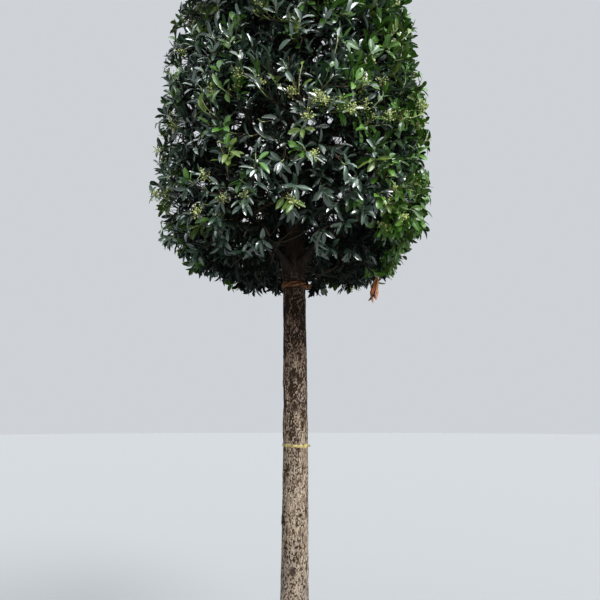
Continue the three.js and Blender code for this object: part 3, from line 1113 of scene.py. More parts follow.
@dataclass
class Crown:
    """The limbs, and the spaces that the masses of foliage share the crown out into."""

    trunk: Trunk
    outline: Outline = field(default_factory=Outline)
    crest_heart: float = 3.975
    crest_tip: float = 0.4
    turn_jitter: float = 0.16
    height_jitter: float = 0.025
    root_jitter: float = 0.045
    bough_share: float = 0.37
    bough_taper: float = 0.55
    stem_tip: float = 0.004
    branch_reach: float = 0.86
    branch_rise: float = 0.3
    elbow_rise: float = 0.62
    margin: float = 0.003
    limb_room: float = 0.003
    box_margin: float = 0.016
    foot_gap: float = 0.08
    foot_top: float = 2.32
    parting: float = 0.066
    parting_top: float = 2.27
    reach_step: float = 0.01
    reach_steps: int = 140
    shrink: float = 0.96
    masses: list[Mass] = field(init=False)

    def __post_init__(self) -> None:
        """Lays out the boughs ring by ring, and the crest over the tip of the trunk."""
        dice = Dice(CROWN_SEED)
        self.masses = [self._branch(ring, i, dice) for ring in RINGS for i in range(ring.count)]
        foot = self.trunk.line(self.trunk.tip + CLEARANCE)
        tip = np.array([0, 0, lerp(self.crest_heart, self.outline.top, self.crest_tip)])
        heart = np.array([0, 0, self.crest_heart])
        self.masses.append(Mass(heart, Bow(foot, (foot + tip) / 2, tip), 0.0, 0.0))

    def _branch(self, ring: Ring, i: int, dice: Dice) -> Mass:
        """Places one bough and its mass.

        Args:
            ring: The ring that it belongs to.
            i: Its number in the ring, from 0.
            dice: The solids' stream of numbers.

        Returns:
            The mass, whose limb starts in the middle of the trunk.
        """
        angle = ring.turn + math.tau * i / ring.count + dice.between(-self.turn_jitter, self.turn_jitter)
        stagger = -ring.stagger if i % 2 else ring.stagger
        heart_z = ring.heart + stagger + dice.between(-self.height_jitter, self.height_jitter)
        root_z = ring.root + 0.5 * stagger + dice.between(-self.root_jitter, self.root_jitter)
        end_z = heart_z + self.branch_rise * (heart_z - root_z)
        end = polar(float(self.outline.radius_at(end_z)) * self.branch_reach, angle, end_z)
        elbow = polar(0.5 * ring.out, angle, lerp(root_z, heart_z, self.elbow_rise))
        limb = Bow(self.trunk.line(root_z), elbow, end)
        start = self.bough_share + CLEARANCE / limb.length()
        return Mass(polar(ring.out, angle, heart_z), limb, start, ring.thick)

    def inside(self, points: Array, mass: Mass, overlap: float) -> Array:
        """Tells which points lie in a mass's space, which is in the outline and nearest to its heart.

        Args:
            points: The points.
            mass: The mass.
            overlap: How far past the border with the next mass still counts.

        Returns:
            True for each point inside.
        """
        within = self.outline.share(points) <= 1
        own = np.sum((points - mass.heart) ** 2, axis=-1)
        for rival in self.masses:
            if rival is not mass:
                apart = np.linalg.norm(rival.heart - mass.heart)
                gap = (np.sum((points - rival.heart) ** 2, axis=-1) - own) / (2 * apart)
                within &= gap > self.margin - overlap
        return within

    def reach_from(self, mass: Mass, aim: Array, overlap: float) -> float:
        """Measures how far a mass's space reaches from its heart.

        Args:
            mass: The mass.
            aim: The direction.
            overlap: How far past the border with the next mass still counts.

        Returns:
            The reach, in whole steps.
        """
        steps = np.arange(1, self.reach_steps + 1) * self.reach_step
        within = self.inside(mass.heart + steps[:, None] * aim, mass, overlap)
        return self.reach_step * (int(np.argmin(within)) if not within.all() else self.reach_steps)

    def before_stem(self, points: Array) -> Array:
        """Tells which points lie where no leaves grow: round the stem under the crown and before it.

        Args:
            points: The points.

        Returns:
            True for each such point.
        """
        away = points - self.trunk.line(points[..., 2])
        round_it = (from_axis(away) < self.foot_gap) & (points[..., 2] < self.foot_top)
        ahead = (np.abs(away[..., 0]) < self.parting) & (away[..., 1] < 0)
        return round_it | (ahead & (points[..., 2] < self.parting_top))

    def touches_limb(self, points: Array, half: float) -> bool:
        """Tells if a twig would touch the trunk or a bough.

        Args:
            points: Points along the twig.
            half: Half its thickness.

        Returns:
            True if any of the points is too near.
        """
        near = self.trunk.away(points) < self.trunk.radius(points[:, 2]) + half + self.limb_room
        if np.any(near & (points[:, 2] < self.trunk.tip + half)):
            return True
        shares = np.linspace(0, self.bough_share, 25)
        for mass in self.masses:
            if mass.thick:
                gaps = np.linalg.norm(points[:, None] - mass.limb.point(shares)[None], axis=-1)
                if gaps.min() < mass.thick + half + self.limb_room:
                    return True
        return False

    def spread(self, mass: Mass, rule: TwigRule, dice: Dice) -> list[tuple[Array, Array]]:
        """Spreads twigs through a mass's space by the golden turn.

        Args:
            mass: The mass that they grow in.
            rule: How many there are, and how they leave its stem.
            dice: A stream of numbers.

        Returns:
            The root and tip of each twig that keeps to the space and clear of the limbs.
        """
        onward = mass.limb.tangent((1 + mass.start) / 2)
        side = np.cross(onward, UP)
        side = unit(side) if np.linalg.norm(side) > 0.1 else SIDEWAYS
        other = np.cross(onward, side)
        twigs = []
        for i in range(rule.count):
            ahead = lerp(1, rule.backmost, (i + 0.5) / rule.count)
            turn = i * GOLDEN_TURN + dice.between(-rule.jitter, rule.jitter)
            off = math.sqrt(1 - ahead * ahead)
            aim = onward * ahead + off * (side * math.cos(turn) + other * math.sin(turn))
            reach = min(rule.most, self.reach_from(mass, aim, rule.overlap) * dice.between(*rule.reach))
            while not in_box(mass.heart + aim * reach, self.box_margin):
                reach *= self.shrink
            tip = mass.heart + aim * reach
            share = lerp(*rule.roots, (i + dice.roll()) / rule.count)
            root = mass.limb.point(lerp(mass.start, 1, share))
            points = root + np.linspace(0, 1, 9)[:, None] * (tip - root)
            long_enough = np.linalg.norm(tip - root) > rule.least
            kept = long_enough and self.inside(points, mass, rule.overlap).all() and not self.before_stem(tip)
            if kept and not self.touches_limb(points[3:], rule.root_radius):
                twigs.append((root, tip))
        return twigs


@dataclass
class Boughs:
    """The boughs, each running on as the stem of its mass, with a collar where it leaves the trunk."""

    crown: Crown
    sides: int = 14
    rows: int = 40
    sunk: float = 0.02
    collar: float = 0.55
    collar_length: float = 0.05
    crest_thick: float = 0.009
    knobble: float = 0.0016
    knobble_scale: float = 37.0
    flute: float = 0.07
    flute_shift: float = 900.0
    search: int = 200

    def build(self, material: Material) -> Object:
        """Makes the boughs and stems as one mesh with the bark's relief.

        Args:
            material: The bark of the limbs.

        Returns:
            The piece.
        """
        lines, radii = [], []
        for mass in self.crown.masses:
            whole = mass.limb.point(np.linspace(0, 1, self.search))
            out = from_axis(whole) > self.crown.trunk.radius(whole[:, 2]) - self.sunk
            first = int(np.argmax(out)) / (self.search - 1) if mass.thick else 0.0
            shares = lerp(first, 1.0, np.linspace(0, 1, self.rows + 1))
            line = mass.limb.point(shares)
            lines.append(line)
            radii.append(self._radii(mass, shares, line))
        lines, radii = np.array(lines), np.array(radii)
        relief = noise_at(lines.reshape(-1, 3), self.knobble_scale).reshape(radii.shape) * self.knobble
        turns = np.arange(self.sides)
        flutes = 1 + self.flute * np.sin(2 * turns + self.flute_shift * radii[:, :1])[:, None, :]
        around = (radii + relief * radii / radii.max())[:, :, None] * flutes
        return sweep(lines, around, self.sides).build("bough_bark", [material])

    def _radii(self, mass: Mass, shares: Array, line: Array) -> Array:
        """Works out a limb's radius, swollen at the collar.

        Args:
            mass: The mass that the limb bears.
            shares: Shares of its length.
            line: The points at those shares.

        Returns:
            The radius at each.
        """
        if not mass.thick:
            return lerp(self.crest_thick, self.crown.stem_tip, shares)
        end = mass.thick * self.crown.bough_taper
        split = self.crown.bough_share
        bough = lerp(mass.thick, end, shares / split)
        stem = lerp(end, self.crown.stem_tip, (shares - split) / (1 - split))
        out = np.linalg.norm(line - line[0], axis=1) - self.sunk
        swollen = 1 + self.collar * np.exp(-np.maximum(out, 0) / self.collar_length)
        return np.where(shares < split, bough, stem) * swollen


class Age(Enum):
    """How old a spray's leaves are, or that they lie so deep inside that they are painted dark and dull, as
    shade.
    """

    SHADED = 0
    OLD = 1
    FULL = 2
    YOUNG = 3


LEAF_COLOURS: dict[Age, tuple[Colour, ...]] = {
    # Painted shade: the shaded age's near-black colours.
    Age.SHADED: ((0.003, 0.006, 0.005), (0.004, 0.008, 0.005), (0.006, 0.011, 0.007)),
    Age.OLD: ((0.007, 0.022, 0.013), (0.013, 0.038, 0.022), (0.045, 0.085, 0.057)),
    # The full and young greens are real leaf colours; dealt mostly to the right, they also paint light
    # shining through the leaves there.
    Age.FULL: ((0.035, 0.11, 0.008), (0.06, 0.148, 0.013), (0.024, 0.075, 0.01)),
    Age.YOUNG: ((0.064, 0.112, 0.016), (0.094, 0.142, 0.024), (0.046, 0.1, 0.016)),
}
GLOSS: dict[Age, dict[str, float]] = {
    Age.SHADED: {"roughness": 0.65, "shine": 0.15, "wax": 0.0},
    Age.OLD: {"roughness": 0.4, "shine": 0.35, "wax": 1.0},
    Age.FULL: {"roughness": 0.45, "shine": 0.18, "wax": 0.3},
    Age.YOUNG: {"roughness": 0.45, "shine": 0.25, "wax": 0.2},
}
BREADTHS = (1.0, 0.95, 1.4, 1.15)  # of a leaf, by its age's number
TONES = 3
DARK_RIB = len(Age) * TONES
MIDDLE_RIB = DARK_RIB + 1
PALE_RIB = DARK_RIB + 2
FIRST_DEAD = DARK_RIB + 3
# Shaded leaves take the dark rib, painted shade like their blades.
RIBS = (DARK_RIB, MIDDLE_RIB, PALE_RIB, PALE_RIB)  # of a leaf, by its age's number
RIB_COLOURS: tuple[Colour, ...] = ((0.01, 0.018, 0.009), (0.07, 0.1, 0.04), (0.13, 0.2, 0.05))
DEAD_COLOURS: tuple[Colour, ...] = ((0.4, 0.14, 0.055), (0.72, 0.36, 0.2), (0.13, 0.045, 0.02))
DRY_COLOURS: tuple[Colour, ...] = ((0.16, 0.075, 0.032), (0.24, 0.14, 0.06), (0.09, 0.045, 0.024))


@dataclass(frozen=True)
class LeafForm:
    """One leaf, long and pointed on a short stalk, its two halves folded up along a pale rib.

    Its corners lie in rows across it. A row has a share of the length and half its width, as a share of
    the leaf's greatest."""

    stalk_end: float = 0.1
    rows: tuple[Span, ...] = ((0.28, 0.72), (0.58, 1.0), (0.87, 0.66))
    rib: float = 0.075
    fold: float = 0.52
    length: float = 0.067
    slim: float = 0.33
    curl: float = 0.25

    def template(self) -> tuple[Array, Array]:
        """Lays out the corners.

        Returns:
            Each corner's share of the length, and how far it lies to the side.
        """
        along = [0.0, 0.0, self.stalk_end, self.stalk_end]
        aside = [-self.rib, self.rib] * 2
        for share, width in self.rows:
            along += [share] * 4
            aside += [-width, -self.rib, self.rib, width]
        return np.array([*along, 1.0]), np.array([*aside, 0.0])

    def faces(self) -> tuple[Array, Array, Array, Array]:
        """Lays out the faces.

        Returns:
            The four-cornered and the three-cornered faces, and which of each are rib.
        """
        quads, quad_rib = [[0, 2, 3, 1], [2, 5, 6, 3]], [True, True]
        last = 4 * len(self.rows)
        for row in range(4, last, 4):
            quads += [[row + k, row + 4 + k, row + 5 + k, row + 1 + k] for k in range(3)]
            quad_rib += [False, True, False]
        tip = last + 4
        tris = [[2, 4, 5], [3, 6, 7], *[[last + k, tip, last + k + 1] for k in range(3)]]
        tri_rib = [False, False, False, True, False]
        return np.array(quads), np.array(tris), np.array(quad_rib), np.array(tri_rib)

    def shape(self, leaves: "LeafSet") -> Shape:
        """Makes many leaves at once.

        Args:
            leaves: Where they are and how they lie.

        Returns:
            All of them as one shape, with the slot numbers of their faces.
        """
        along, aside = self.template()
        across = np.cross(leaves.face, leaves.aim)
        length, width = leaves.length[:, None], (leaves.length * leaves.breadth)[:, None] * self.slim / 2
        lift = self.fold / leaves.breadth[:, None] ** 2 * np.abs(aside) * width
        lift -= leaves.curl[:, None] * along**2 * length
        lift += leaves.twist[:, None] * aside * along * width
        corners = leaves.root[:, None] + (along * length)[..., None] * leaves.aim[:, None]
        corners += (aside * width)[..., None] * across[:, None]
        corners += lift[..., None] * leaves.face[:, None]
        quads, tris, quad_rib, tri_rib = self.faces()
        first = (np.arange(len(leaves.root)) * len(along))[:, None, None]
        blade, rib = leaves.slot[:, None], leaves.rib_slot[:, None]
        slots = [np.where(is_rib[None], rib, blade).ravel() for is_rib in (quad_rib, tri_rib)]
        faces = [(quads[None] + first).reshape(-1, 4), (tris[None] + first).reshape(-1, 3)]
        return Shape(corners.reshape(-1, 3), faces, slots)


@dataclass(frozen=True)
class LeafSet(Table):
    """Many leaves."""

    root: Array
    aim: Array
    face: Array
    length: Array
    breadth: Array
    curl: Array
    twist: Array
    slot: Array
    rib_slot: Array


@dataclass
class Foliage:
    """Twigs, leafy shoots, leaves and buds, grown mass by mass and joined kind by kind."""

    crown: Crown
    form: LeafForm = field(default_factory=LeafForm)
    dark_form: LeafForm = field(default_factory=lambda: LeafForm(rows=((0.6, 1.0),)))
    low_form: LeafForm = field(default_factory=lambda: LeafForm(rows=((0.36, 0.9), (0.78, 0.84))))
    levels: tuple[float, ...] = (-math.inf, 2.62, 3.0, 3.42, math.inf)
    twig_sag: Span = (0.04, 0.2)
    stem_radius: float = 0.008
    shoot_gap: float = 0.031
    bare_share: float = 0.22
    shoot_length: Span = (0.06, 0.14)
    shoot_radius: Span = (0.0025, 0.0015)
    shoot_spread: Span = (0.5, 1.05)
    shoot_rise: Span = (-0.45, 0.5)
    rise_heights: Span = (2.2, 2.8)
    right_rise: float = 0.35
    outward: float = 0.35
    tip_spread: float = 0.12
    least_shoot: float = 0.03
    shoot_shrink: float = 0.72
    tip_limit: Span = (0.86, 1.06)
    tip_slack: float = 0.08
    least_tip: float = 0.012
    stray_share: float = 0.22
    stray_reach: float = 0.15
    gap_step: float = 0.085
    gap_least: float = 0.07
    gap_depth: float = 0.06
    gap_reach: float = 0.36
    skirt_slack: float = 0.03
    eye: Span = (2.85, 1.5)
    sky_gaps: int = 56
    sky_sides: Span = (-0.64, 0.24)
    sky_heights: Span = (2.45, 3.4)
    sky_radius: Span = (0.011, 0.023)
    green_depth: float = 0.1
    # The young and full shares rise to the right, where their brighter greens partly paint the light shining
    # through the leaves.
    young_share: Span = (0.17, 0.22)
    full_share: Span = (0.11, 0.68)
    lit_depths: Span = (0.78, 0.96)
    # Painted shade: the depths over which shoots turn to the dark shaded age.
    dark_depths: Span = (0.9, 0.74)
    right_places: Span = (0.12, 0.45)
    patch_scale: float = 3.1
    patch_noise: Span = (-0.25, 0.4)
    leafy_share: float = 0.6
    leaf_gap: float = 0.0105
    first_leaf: float = 0.15
    crowding: float = 0.7
    leaf_spread: Span = (1.25, 0.6)
    leaf_droop: Span = (0.5, -0.12)
    droop_heights: Span = (2.15, 2.9)
    leaf_length: Span = (0.78, 1.14)
    tip_leaf: float = 0.84
    leaf_breadth: Span = (0.8, 1.12)
    leaf_curl: Span = (0.3, 2.0)
    leaf_twist: float = 0.35
    leaf_slack: float = 0.13
    tip_leaves: int = 4
    hollow: float = 0.36
    kept_inside: float = 0.3
    trunk_gap: float = 0.01
    box_margin: float = 0.002
    dead_place: Triple = (0.385, -0.12, 2.15)
    dead_stem: Triple = (-0.02, -0.006, -0.07)
    dead_stem_radius: float = 0.0014
    dead_leaves: int = 17
    bud_share: float = 0.3
    bud_depth: float = 0.12
    bud_places: tuple[float, ...] = (0.66, 0.83, 1.0)
    buds_in_axil: int = 12
    bud_radius: float = 0.0046
    bud_stalk: Span = (0.008, 0.032)
    stalk_radius: float = 0.0007
    shoots: LimbSet = field(init=False)

    def grow_twigs(self, mass: Mass, index: int) -> list[Array]:
        """Grows one mass's twigs: the solids' own, and the finer ones.

        Args:
            mass: The mass.
            index: Its number, which its seeds come from.

        Returns:
            A row of root, elbow, tip, root radius and tip radius for each twig.
        """
        rng = np.random.default_rng(FINE_SEED + index)
        rows = []
        for rule, dice in (
            (SOLID_TWIGS, Dice(CROWN_SEED + 97 * (index + 1))),
            (FINE_TWIGS, Dice(FINE_SEED + 89 * (index + 1))),
        ):
            for root, tip in self.crown.spread(mass, rule, dice):
                long = np.linalg.norm(tip - root)
                sag = rng.uniform(*self.twig_sag) * long * (1 if tip[2] > root[2] - 0.04 else -1)
                elbow = (root + tip) / 2 - UP * sag + rng.normal(0, 0.05, 3) * long
                rows.append(np.concatenate([root, elbow, tip, [rule.root_radius, rule.tip_radius]]))
        return rows

    def fill_gaps(self, rows: list[Array]) -> list[Array]:
        """Grows a twig into each gap that is left under the crown's outline, from the nearest twig inside.

        Args:
            rows: The twigs so far, in the form that grow_twigs gives them.

        Returns:
            The further twigs, in the same form.
        """
        rng = np.random.default_rng(GAP_SEED)
        radii = [FINE_TWIGS.root_radius, FINE_TWIGS.tip_radius]
        limbs = LimbSet.of(rows)
        at = {share: limbs.point(np.full(len(rows), share)) for share in (0.3, 0.45, 0.6, 0.8, 1.0)}
        bearers = np.concatenate([at[0.3], at[0.45], at[0.6]])
        leafy = np.concatenate([at[0.6], at[0.8], at[1.0]])
        more = []
        for spot in self.crown.outline.spots(self.gap_step, self.gap_depth):
            away = np.linalg.norm(bearers - spot, axis=1)
            root = bearers[np.argmin(away)]
            points = root + np.linspace(0.2, 1, 7)[:, None] * (spot - root)
            filled = np.linalg.norm(leafy - spot, axis=1).min() < self.gap_least
            if filled or away.min() > self.gap_reach or self.crown.before_stem(spot):
                continue
            if self.crown.touches_limb(points, FINE_TWIGS.root_radius):
                continue
            elbow = (root + spot) / 2 + rng.normal(0, 0.06, 3) * away.min()
            more.append(np.concatenate([root, elbow, spot, radii]))
            leafy = np.concatenate([leafy, points[[3, 5, 6]]])
        return more

    def stems(self) -> list[Array]:
        """Lays out the masses' stems, because they bear shoots too.

        Returns:
            Rows in the form that grow_twigs gives.
        """
        radii, rows = [self.stem_radius, self.crown.stem_tip], []
        for mass in self.crown.masses:
            elbow = lerp(mass.limb.elbow, mass.limb.tip, mass.start)
            rows.append(np.concatenate([mass.limb.point(mass.start), elbow, mass.limb.tip, radii]))
        return rows

    def grow_shoots(self, bearers: LimbSet) -> LimbSet:
        """Grows the leafy shoots: along the outer parts of what bears them, and one on from each tip.

        Args:
            bearers: The stems and twigs.

        Returns:
            The shoots that stay in the crown. Fewer are left inside it than outside.
        """
        rng = np.random.default_rng(SHOOT_SEED)
        lengths = np.linalg.norm(bearers.tip - bearers.root, axis=1)
        counts = np.maximum(1, (lengths * (1 - self.bare_share) / self.shoot_gap).astype(int)) + 1
        parent, number = dealt(counts)
        total = len(number)
        last = number == counts[parent] - 1
        share = self.bare_share + (1 - self.bare_share) * (number + rng.random(total)) / counts[parent]
        share = np.where(last, 1.0, np.clip(share, 0, 0.98))
        limbs = bearers.picked(parent)
        root, onward = limbs.point(share), limbs.tangent(share)
        turn = number * GOLDEN_TURN + parent * 1.7 + rng.uniform(-0.5, 0.5, total)
        spread = np.where(last, self.tip_spread, rng.uniform(*self.shoot_spread, total))
        rise = lerp(*self.shoot_rise, smooth(*self.rise_heights, root[:, 2]))
        rise += self.right_rise * smooth(0.2, 0.6, root[:, 0])
        out = self.outward * unit(root * [1, 1, 0])
        aim = unit(fanned(onward, spread, turn) + rise[:, None] * UP + out)
        length = rng.uniform(*self.shoot_length, total)
        limit = rng.uniform(*self.tip_limit, total)
        limit += self.stray_reach * (rng.random(total) < self.stray_share)
        for _ in range(4):
            tip = root + aim * length[:, None]
            too_far = (self.crown.outline.lumpy_share(tip) > limit) | ~in_box(tip, 0.012)
            too_far |= tip[:, 2] < self.crown.outline.skirt(tip)
            length = np.where(too_far, self.shoot_shrink * length, length)
        tip = root + aim * length[:, None]
        buried = self.crown.outline.buried(tip)
        filled = (buried < self.hollow) | (rng.random(total) < self.kept_inside)
        long_enough = length > np.where(last, self.least_tip, self.least_shoot)
        keep = long_enough & (buried > -self.tip_slack) & in_box(tip, 0.004) & (filled | last)
        keep &= tip[:, 2] > self.crown.outline.skirt(tip) - self.skirt_slack
        keep &= ~self.crown.before_stem(tip) & ~self.crown.before_stem((root + tip) / 2)
        elbow = root + (onward * 0.35 + aim * 0.2 - UP * 0.06) * length[:, None]
        thick, thin = (np.full(total, radius) for radius in self.shoot_radius)
        return LimbSet(root, elbow, tip, thick, thin).picked(keep)

    def ages(self, shoots: LimbSet, rng: np.random.Generator) -> Array:
        """Deals an age to each shoot: young and full ones near the outside, more of them to the right, where
        their brighter greens partly paint light shining through the leaves; and the dark, dull shaded age,
        which is painted shade, deep inside and under the crown round the stem.

        Args:
            shoots: The shoots.
            rng: Where the chances come from.

        Returns:
            The ages' numbers, one for each shoot.
        """
        tip = shoots.tip
        depth = 1 - self.crown.outline.buried(tip)
        under = tip[:, 2] < self.crown.outline.widest
        # Painted shade: under the crown, leaves near the stem count as deep and turn dark.
        depth = np.where(under, np.minimum(depth, 0.59 + 1.2 * from_axis(tip)), depth)
        outer = smooth(*self.lit_depths, depth)
        # Painted light: more bright young and full leaves to the right, standing partly for the light shining
        # through them there.
        right = smooth(*self.right_places, tip[:, 0] + 0.15 * (tip[:, 2] - 2.9))
        patch = smooth(*self.patch_noise, noise_at(tip, self.patch_scale))
        (young, more_young), (full, more_full) = self.young_share, self.full_share
        young = outer * (young + more_young * right * (0.3 + 0.7 * patch))
        full = outer * (full + more_full * right)
        chance = rng.random(len(tip))
        grown = np.where(chance < young + full, Age.FULL.value, Age.OLD.value)
        seen = np.where(chance < young, Age.YOUNG.value, grown)
        # Painted shade: deeper shoots are dealt the dark, dull shaded age, a little less of it to the right,
        # where painted light wins.
        dark = rng.random(len(tip)) < smooth(*self.dark_depths, depth + 0.05 * right)
        return np.where(dark, Age.SHADED.value, seen)

    def grow_leaves(self, shoots: LimbSet) -> LeafSet:
        """Sets leaves round the shoots by the golden turn, closest at the tips.

        Args:
            shoots: What they grow on.

        Returns:
            The leaves.
        """
        rng = np.random.default_rng(LEAF_SEED)
        ages = self.ages(shoots, rng)
        lengths = np.linalg.norm(shoots.tip - shoots.root, axis=1)
        counts = (lengths * self.leafy_share / self.leaf_gap).astype(int) + self.tip_leaves
        parent, number = dealt(counts)
        total = len(number)
        along = (number + 0.5 + rng.uniform(-0.3, 0.3, total)) / counts[parent]
        share = lerp(self.first_leaf, 1.0, along**self.crowding)
        limbs = shoots.picked(parent)
        root, onward = limbs.point(share), limbs.tangent(share)
        turn = number * GOLDEN_TURN + parent * 2.3 + rng.uniform(-0.35, 0.35, total)
        spread = lerp(*self.leaf_spread, share) + rng.uniform(-0.22, 0.22, total)
        droop = lerp(*self.leaf_droop, smooth(*self.droop_heights, root[:, 2]))
        droop += rng.normal(0, 0.22, total)
        aim = unit(fanned(onward, spread, -turn) - droop[:, None] * UP)
        face = square_to(onward + 0.5 * UP + rng.normal(0, 0.3, (total, 3)), aim)
        length = self.form.length * rng.uniform(*self.leaf_length, total)
        length *= lerp(1.0, self.tip_leaf, share**3)
        slot = ages[parent] * TONES + rng.integers(0, TONES, len(ages))[parent]
        curl = self.form.curl * rng.uniform(*self.leaf_curl, total)
        twist = rng.normal(0, self.leaf_twist, total)
        breadth = np.array(BREADTHS)[ages[parent]] * rng.uniform(*self.leaf_breadth, total)
        leaves = LeafSet(root, aim, face, length, breadth, curl, twist, slot, np.array(RIBS)[ages[parent]])
        return leaves.picked(self._leaf_fits(leaves))

    def _in_sky_gap(self, points: Array) -> Array:
        """Tells which points lie in the narrow gaps that show sky from the front, most to the left.

        Args:
            points: The points.

        Returns:
            True for each such point.
        """
        rng = np.random.default_rng(SKY_SEED)
        away, eye_height = self.eye
        nearer = away / (away + points[:, 1])
        side, height = points[:, 0] * nearer, eye_height + (points[:, 2] - eye_height) * nearer
        inside = np.zeros(len(points), dtype=bool)
        for _ in range(self.sky_gaps):
            across, up = rng.uniform(*self.sky_sides), rng.uniform(*self.sky_heights)
            inside |= np.hypot(side - across, height - up) < rng.uniform(*self.sky_radius)
        return inside

    def _leaf_fits(self, leaves: LeafSet) -> Array:
        """Tells which leaves stay in the outline and the solids' box, and clear of trunk and gaps.

        Args:
            leaves: The leaves.

        Returns:
            True for each that fits.
        """
        trunk = self.crown.trunk
        keep = ~self._in_sky_gap(leaves.root)
        half = 0.5 * self.form.slim * (leaves.length * leaves.breadth)[:, None]
        for share in (0.5, 1.0):
            point = leaves.root + leaves.aim * (leaves.length * share)[:, None]
            point -= leaves.face * (leaves.curl * leaves.length * share**2)[:, None]
            keep &= self.crown.outline.buried(point) > -self.leaf_slack
            keep &= in_box(point, half + self.box_margin)
            height = point[:, 2]
            keep &= (trunk.away(point) > trunk.radius(height) + self.trunk_gap) | (height > trunk.tip)
            keep &= ~self.crown.before_stem(point) & ~self._in_sky_gap(point)
        return keep

    def dead_spray(self) -> tuple[LeafSet, Shape]:
        """Hangs a snapped shoot with dry leaves from the underside, to the right of the stem.

        Returns:
            Its leaves and its stem.
        """
        rng = np.random.default_rng(DEAD_SEED)
        tips = self.shoots.tip
        start = tips[np.argmin(np.linalg.norm(tips - np.array(self.dead_place), axis=1))]
        end = start + np.array(self.dead_stem)
        count = self.dead_leaves
        share = np.linspace(0, 1, count)
        root = lerp(start, end, share[:, None])
        aim = unit(rng.normal(0, 1, (count, 3)) * (0.1 + 0.2 * share[:, None]) + [-0.15, 0, -1])
        face = unit(np.cross(aim, rng.normal(0, 1, (count, 3))))
        spans = ((0.055, 0.085), (0.1, 0.3), (-0.6, 0.6))
        length, curl, twist = (rng.uniform(*span, count) for span in spans)
        slot = FIRST_DEAD + rng.integers(0, len(DEAD_COLOURS), count)
        line = np.stack([start, (start + end) / 2, end])
        stem = sweep(line[None], np.full((1, 3), self.dead_stem_radius), 4)
        leaves = LeafSet(root, aim, face, length, lerp(1.2, 0.25, share), curl, twist, slot, slot)
        return leaves, stem

    def bud_lines(self, shoots: LimbSet) -> tuple[Array, Array]:
        """Places the buds and young fruit, in clusters in the axils of some outer shoots.

        Args:
            shoots: What they grow on.

        Returns:
            Where each bud's stalk starts, and the bud's middle.
        """
        rng = np.random.default_rng(LEAF_SEED + 1)
        outer = self.crown.outline.buried(shoots.tip) < self.bud_depth
        chance = self.bud_share * smooth(-0.35, 0.25, noise_at(shoots.tip, 4.0))
        bearing = np.flatnonzero(outer & (rng.random(len(outer)) < chance))
        parent = np.repeat(bearing, len(self.bud_places) * self.buds_in_axil)
        place = np.tile(np.repeat(self.bud_places, self.buds_in_axil), len(bearing))
        start = shoots.picked(parent).point(place + rng.normal(0, 0.015, len(place)))
        around = unit(rng.normal(0, 1, (len(parent), 3)) + 0.3 * UP)
        middle = start + around * rng.uniform(*self.bud_stalk, len(parent))[:, None]
        keep = in_box(middle, self.bud_radius + self.box_margin)
        return start[keep], middle[keep]

    def build(self, wood: Material, green: Material, stalk: Material) -> dict[str, Object]:
        """Grows everything and joins it kind by kind.

        Args:
            wood: The skin of the twigs, and of the shoots deep in the crown, where its darker brown is
                painted shade.
            green: The skin of the outer shoots.
            stalk: The skin of the buds' stalks.

        Returns:
            The pieces by name.
        """
        rows = [row for index, mass in enumerate(self.crown.masses) for row in self.grow_twigs(mass, index)]
        more = self.fill_gaps(rows)
        LOG.info("%d twigs, and %d more in gaps", len(rows), len(more))
        rows += more
        self.shoots = self.grow_shoots(LimbSet.of(rows + self.stems()))
        leaves = self.grow_leaves(self.shoots)
        dark = leaves.slot < TONES
        lines = np.stack(self.bud_lines(self.shoots), axis=1)
        stalks = sweep(lines, np.full(lines.shape[:2], self.stalk_radius), 3)
        LOG.info("%d shoots, %d buds", len(self.shoots.root), len(lines))
        LOG.info("%d leaves, %d of them in the shade", len(dark), dark.sum())
        # Painted shade: shoots deep in the crown take the twigs' darker bark instead of green.
        outer = self.crown.outline.buried(self.shoots.tip) < self.green_depth
        shaded_shoots, fresh = (self.shoots.picked(kept).tubes(3, 3) for kept in (~outer, outer))
        dead, dead_stem = self.dead_spray()
        pieces = {
            "twigs": joined([LimbSet.of(rows).tubes(5, 6), shaded_shoots, dead_stem]).build("twigs", [wood]),
            "shoots": fresh.build("shoots", [green]),
            "bud_stalks": stalks.build("bud_stalks", [stalk]),
        }
        materials = self.leaf_materials()
        for ring, low, high in zip(RINGS, self.levels, self.levels[1:]):
            level = (leaves.root[:, 2] >= low) & (leaves.root[:, 2] < high)
            lowest = ring is RINGS[0]
            dark_form = self.low_form if lowest else self.dark_form
            lit, shaded = leaves.picked(level & ~dark), leaves.picked(level & dark)
            shapes = [self.form.shape(lit), dark_form.shape(shaded)]
            if lowest:
                shapes.append(self.form.shape(dead))
            name = f"leaves_{ring.name}"
            pieces[name] = joined(shapes).build(name, materials)
        return pieces

    def leaf_materials(self) -> list[Material]:
        """Makes the leaves' plain colours.

        Returns:
            The materials in the order of their slots.
        """
        finishes = [
            LeafFinish(f"leaf_{age.name.lower()}_{i + 1}", colour, **GLOSS[age])
            for age, colours in LEAF_COLOURS.items()
            for i, colour in enumerate(colours)
        ]
        finishes += [
            PlainFinish(f"leaf_{kind}_{i + 1}", colour, 0.4)
            for kind, colours in (("rib", RIB_COLOURS), ("dead", DEAD_COLOURS))
            for i, colour in enumerate(colours)
        ]
        return [finish.material() for finish in finishes]


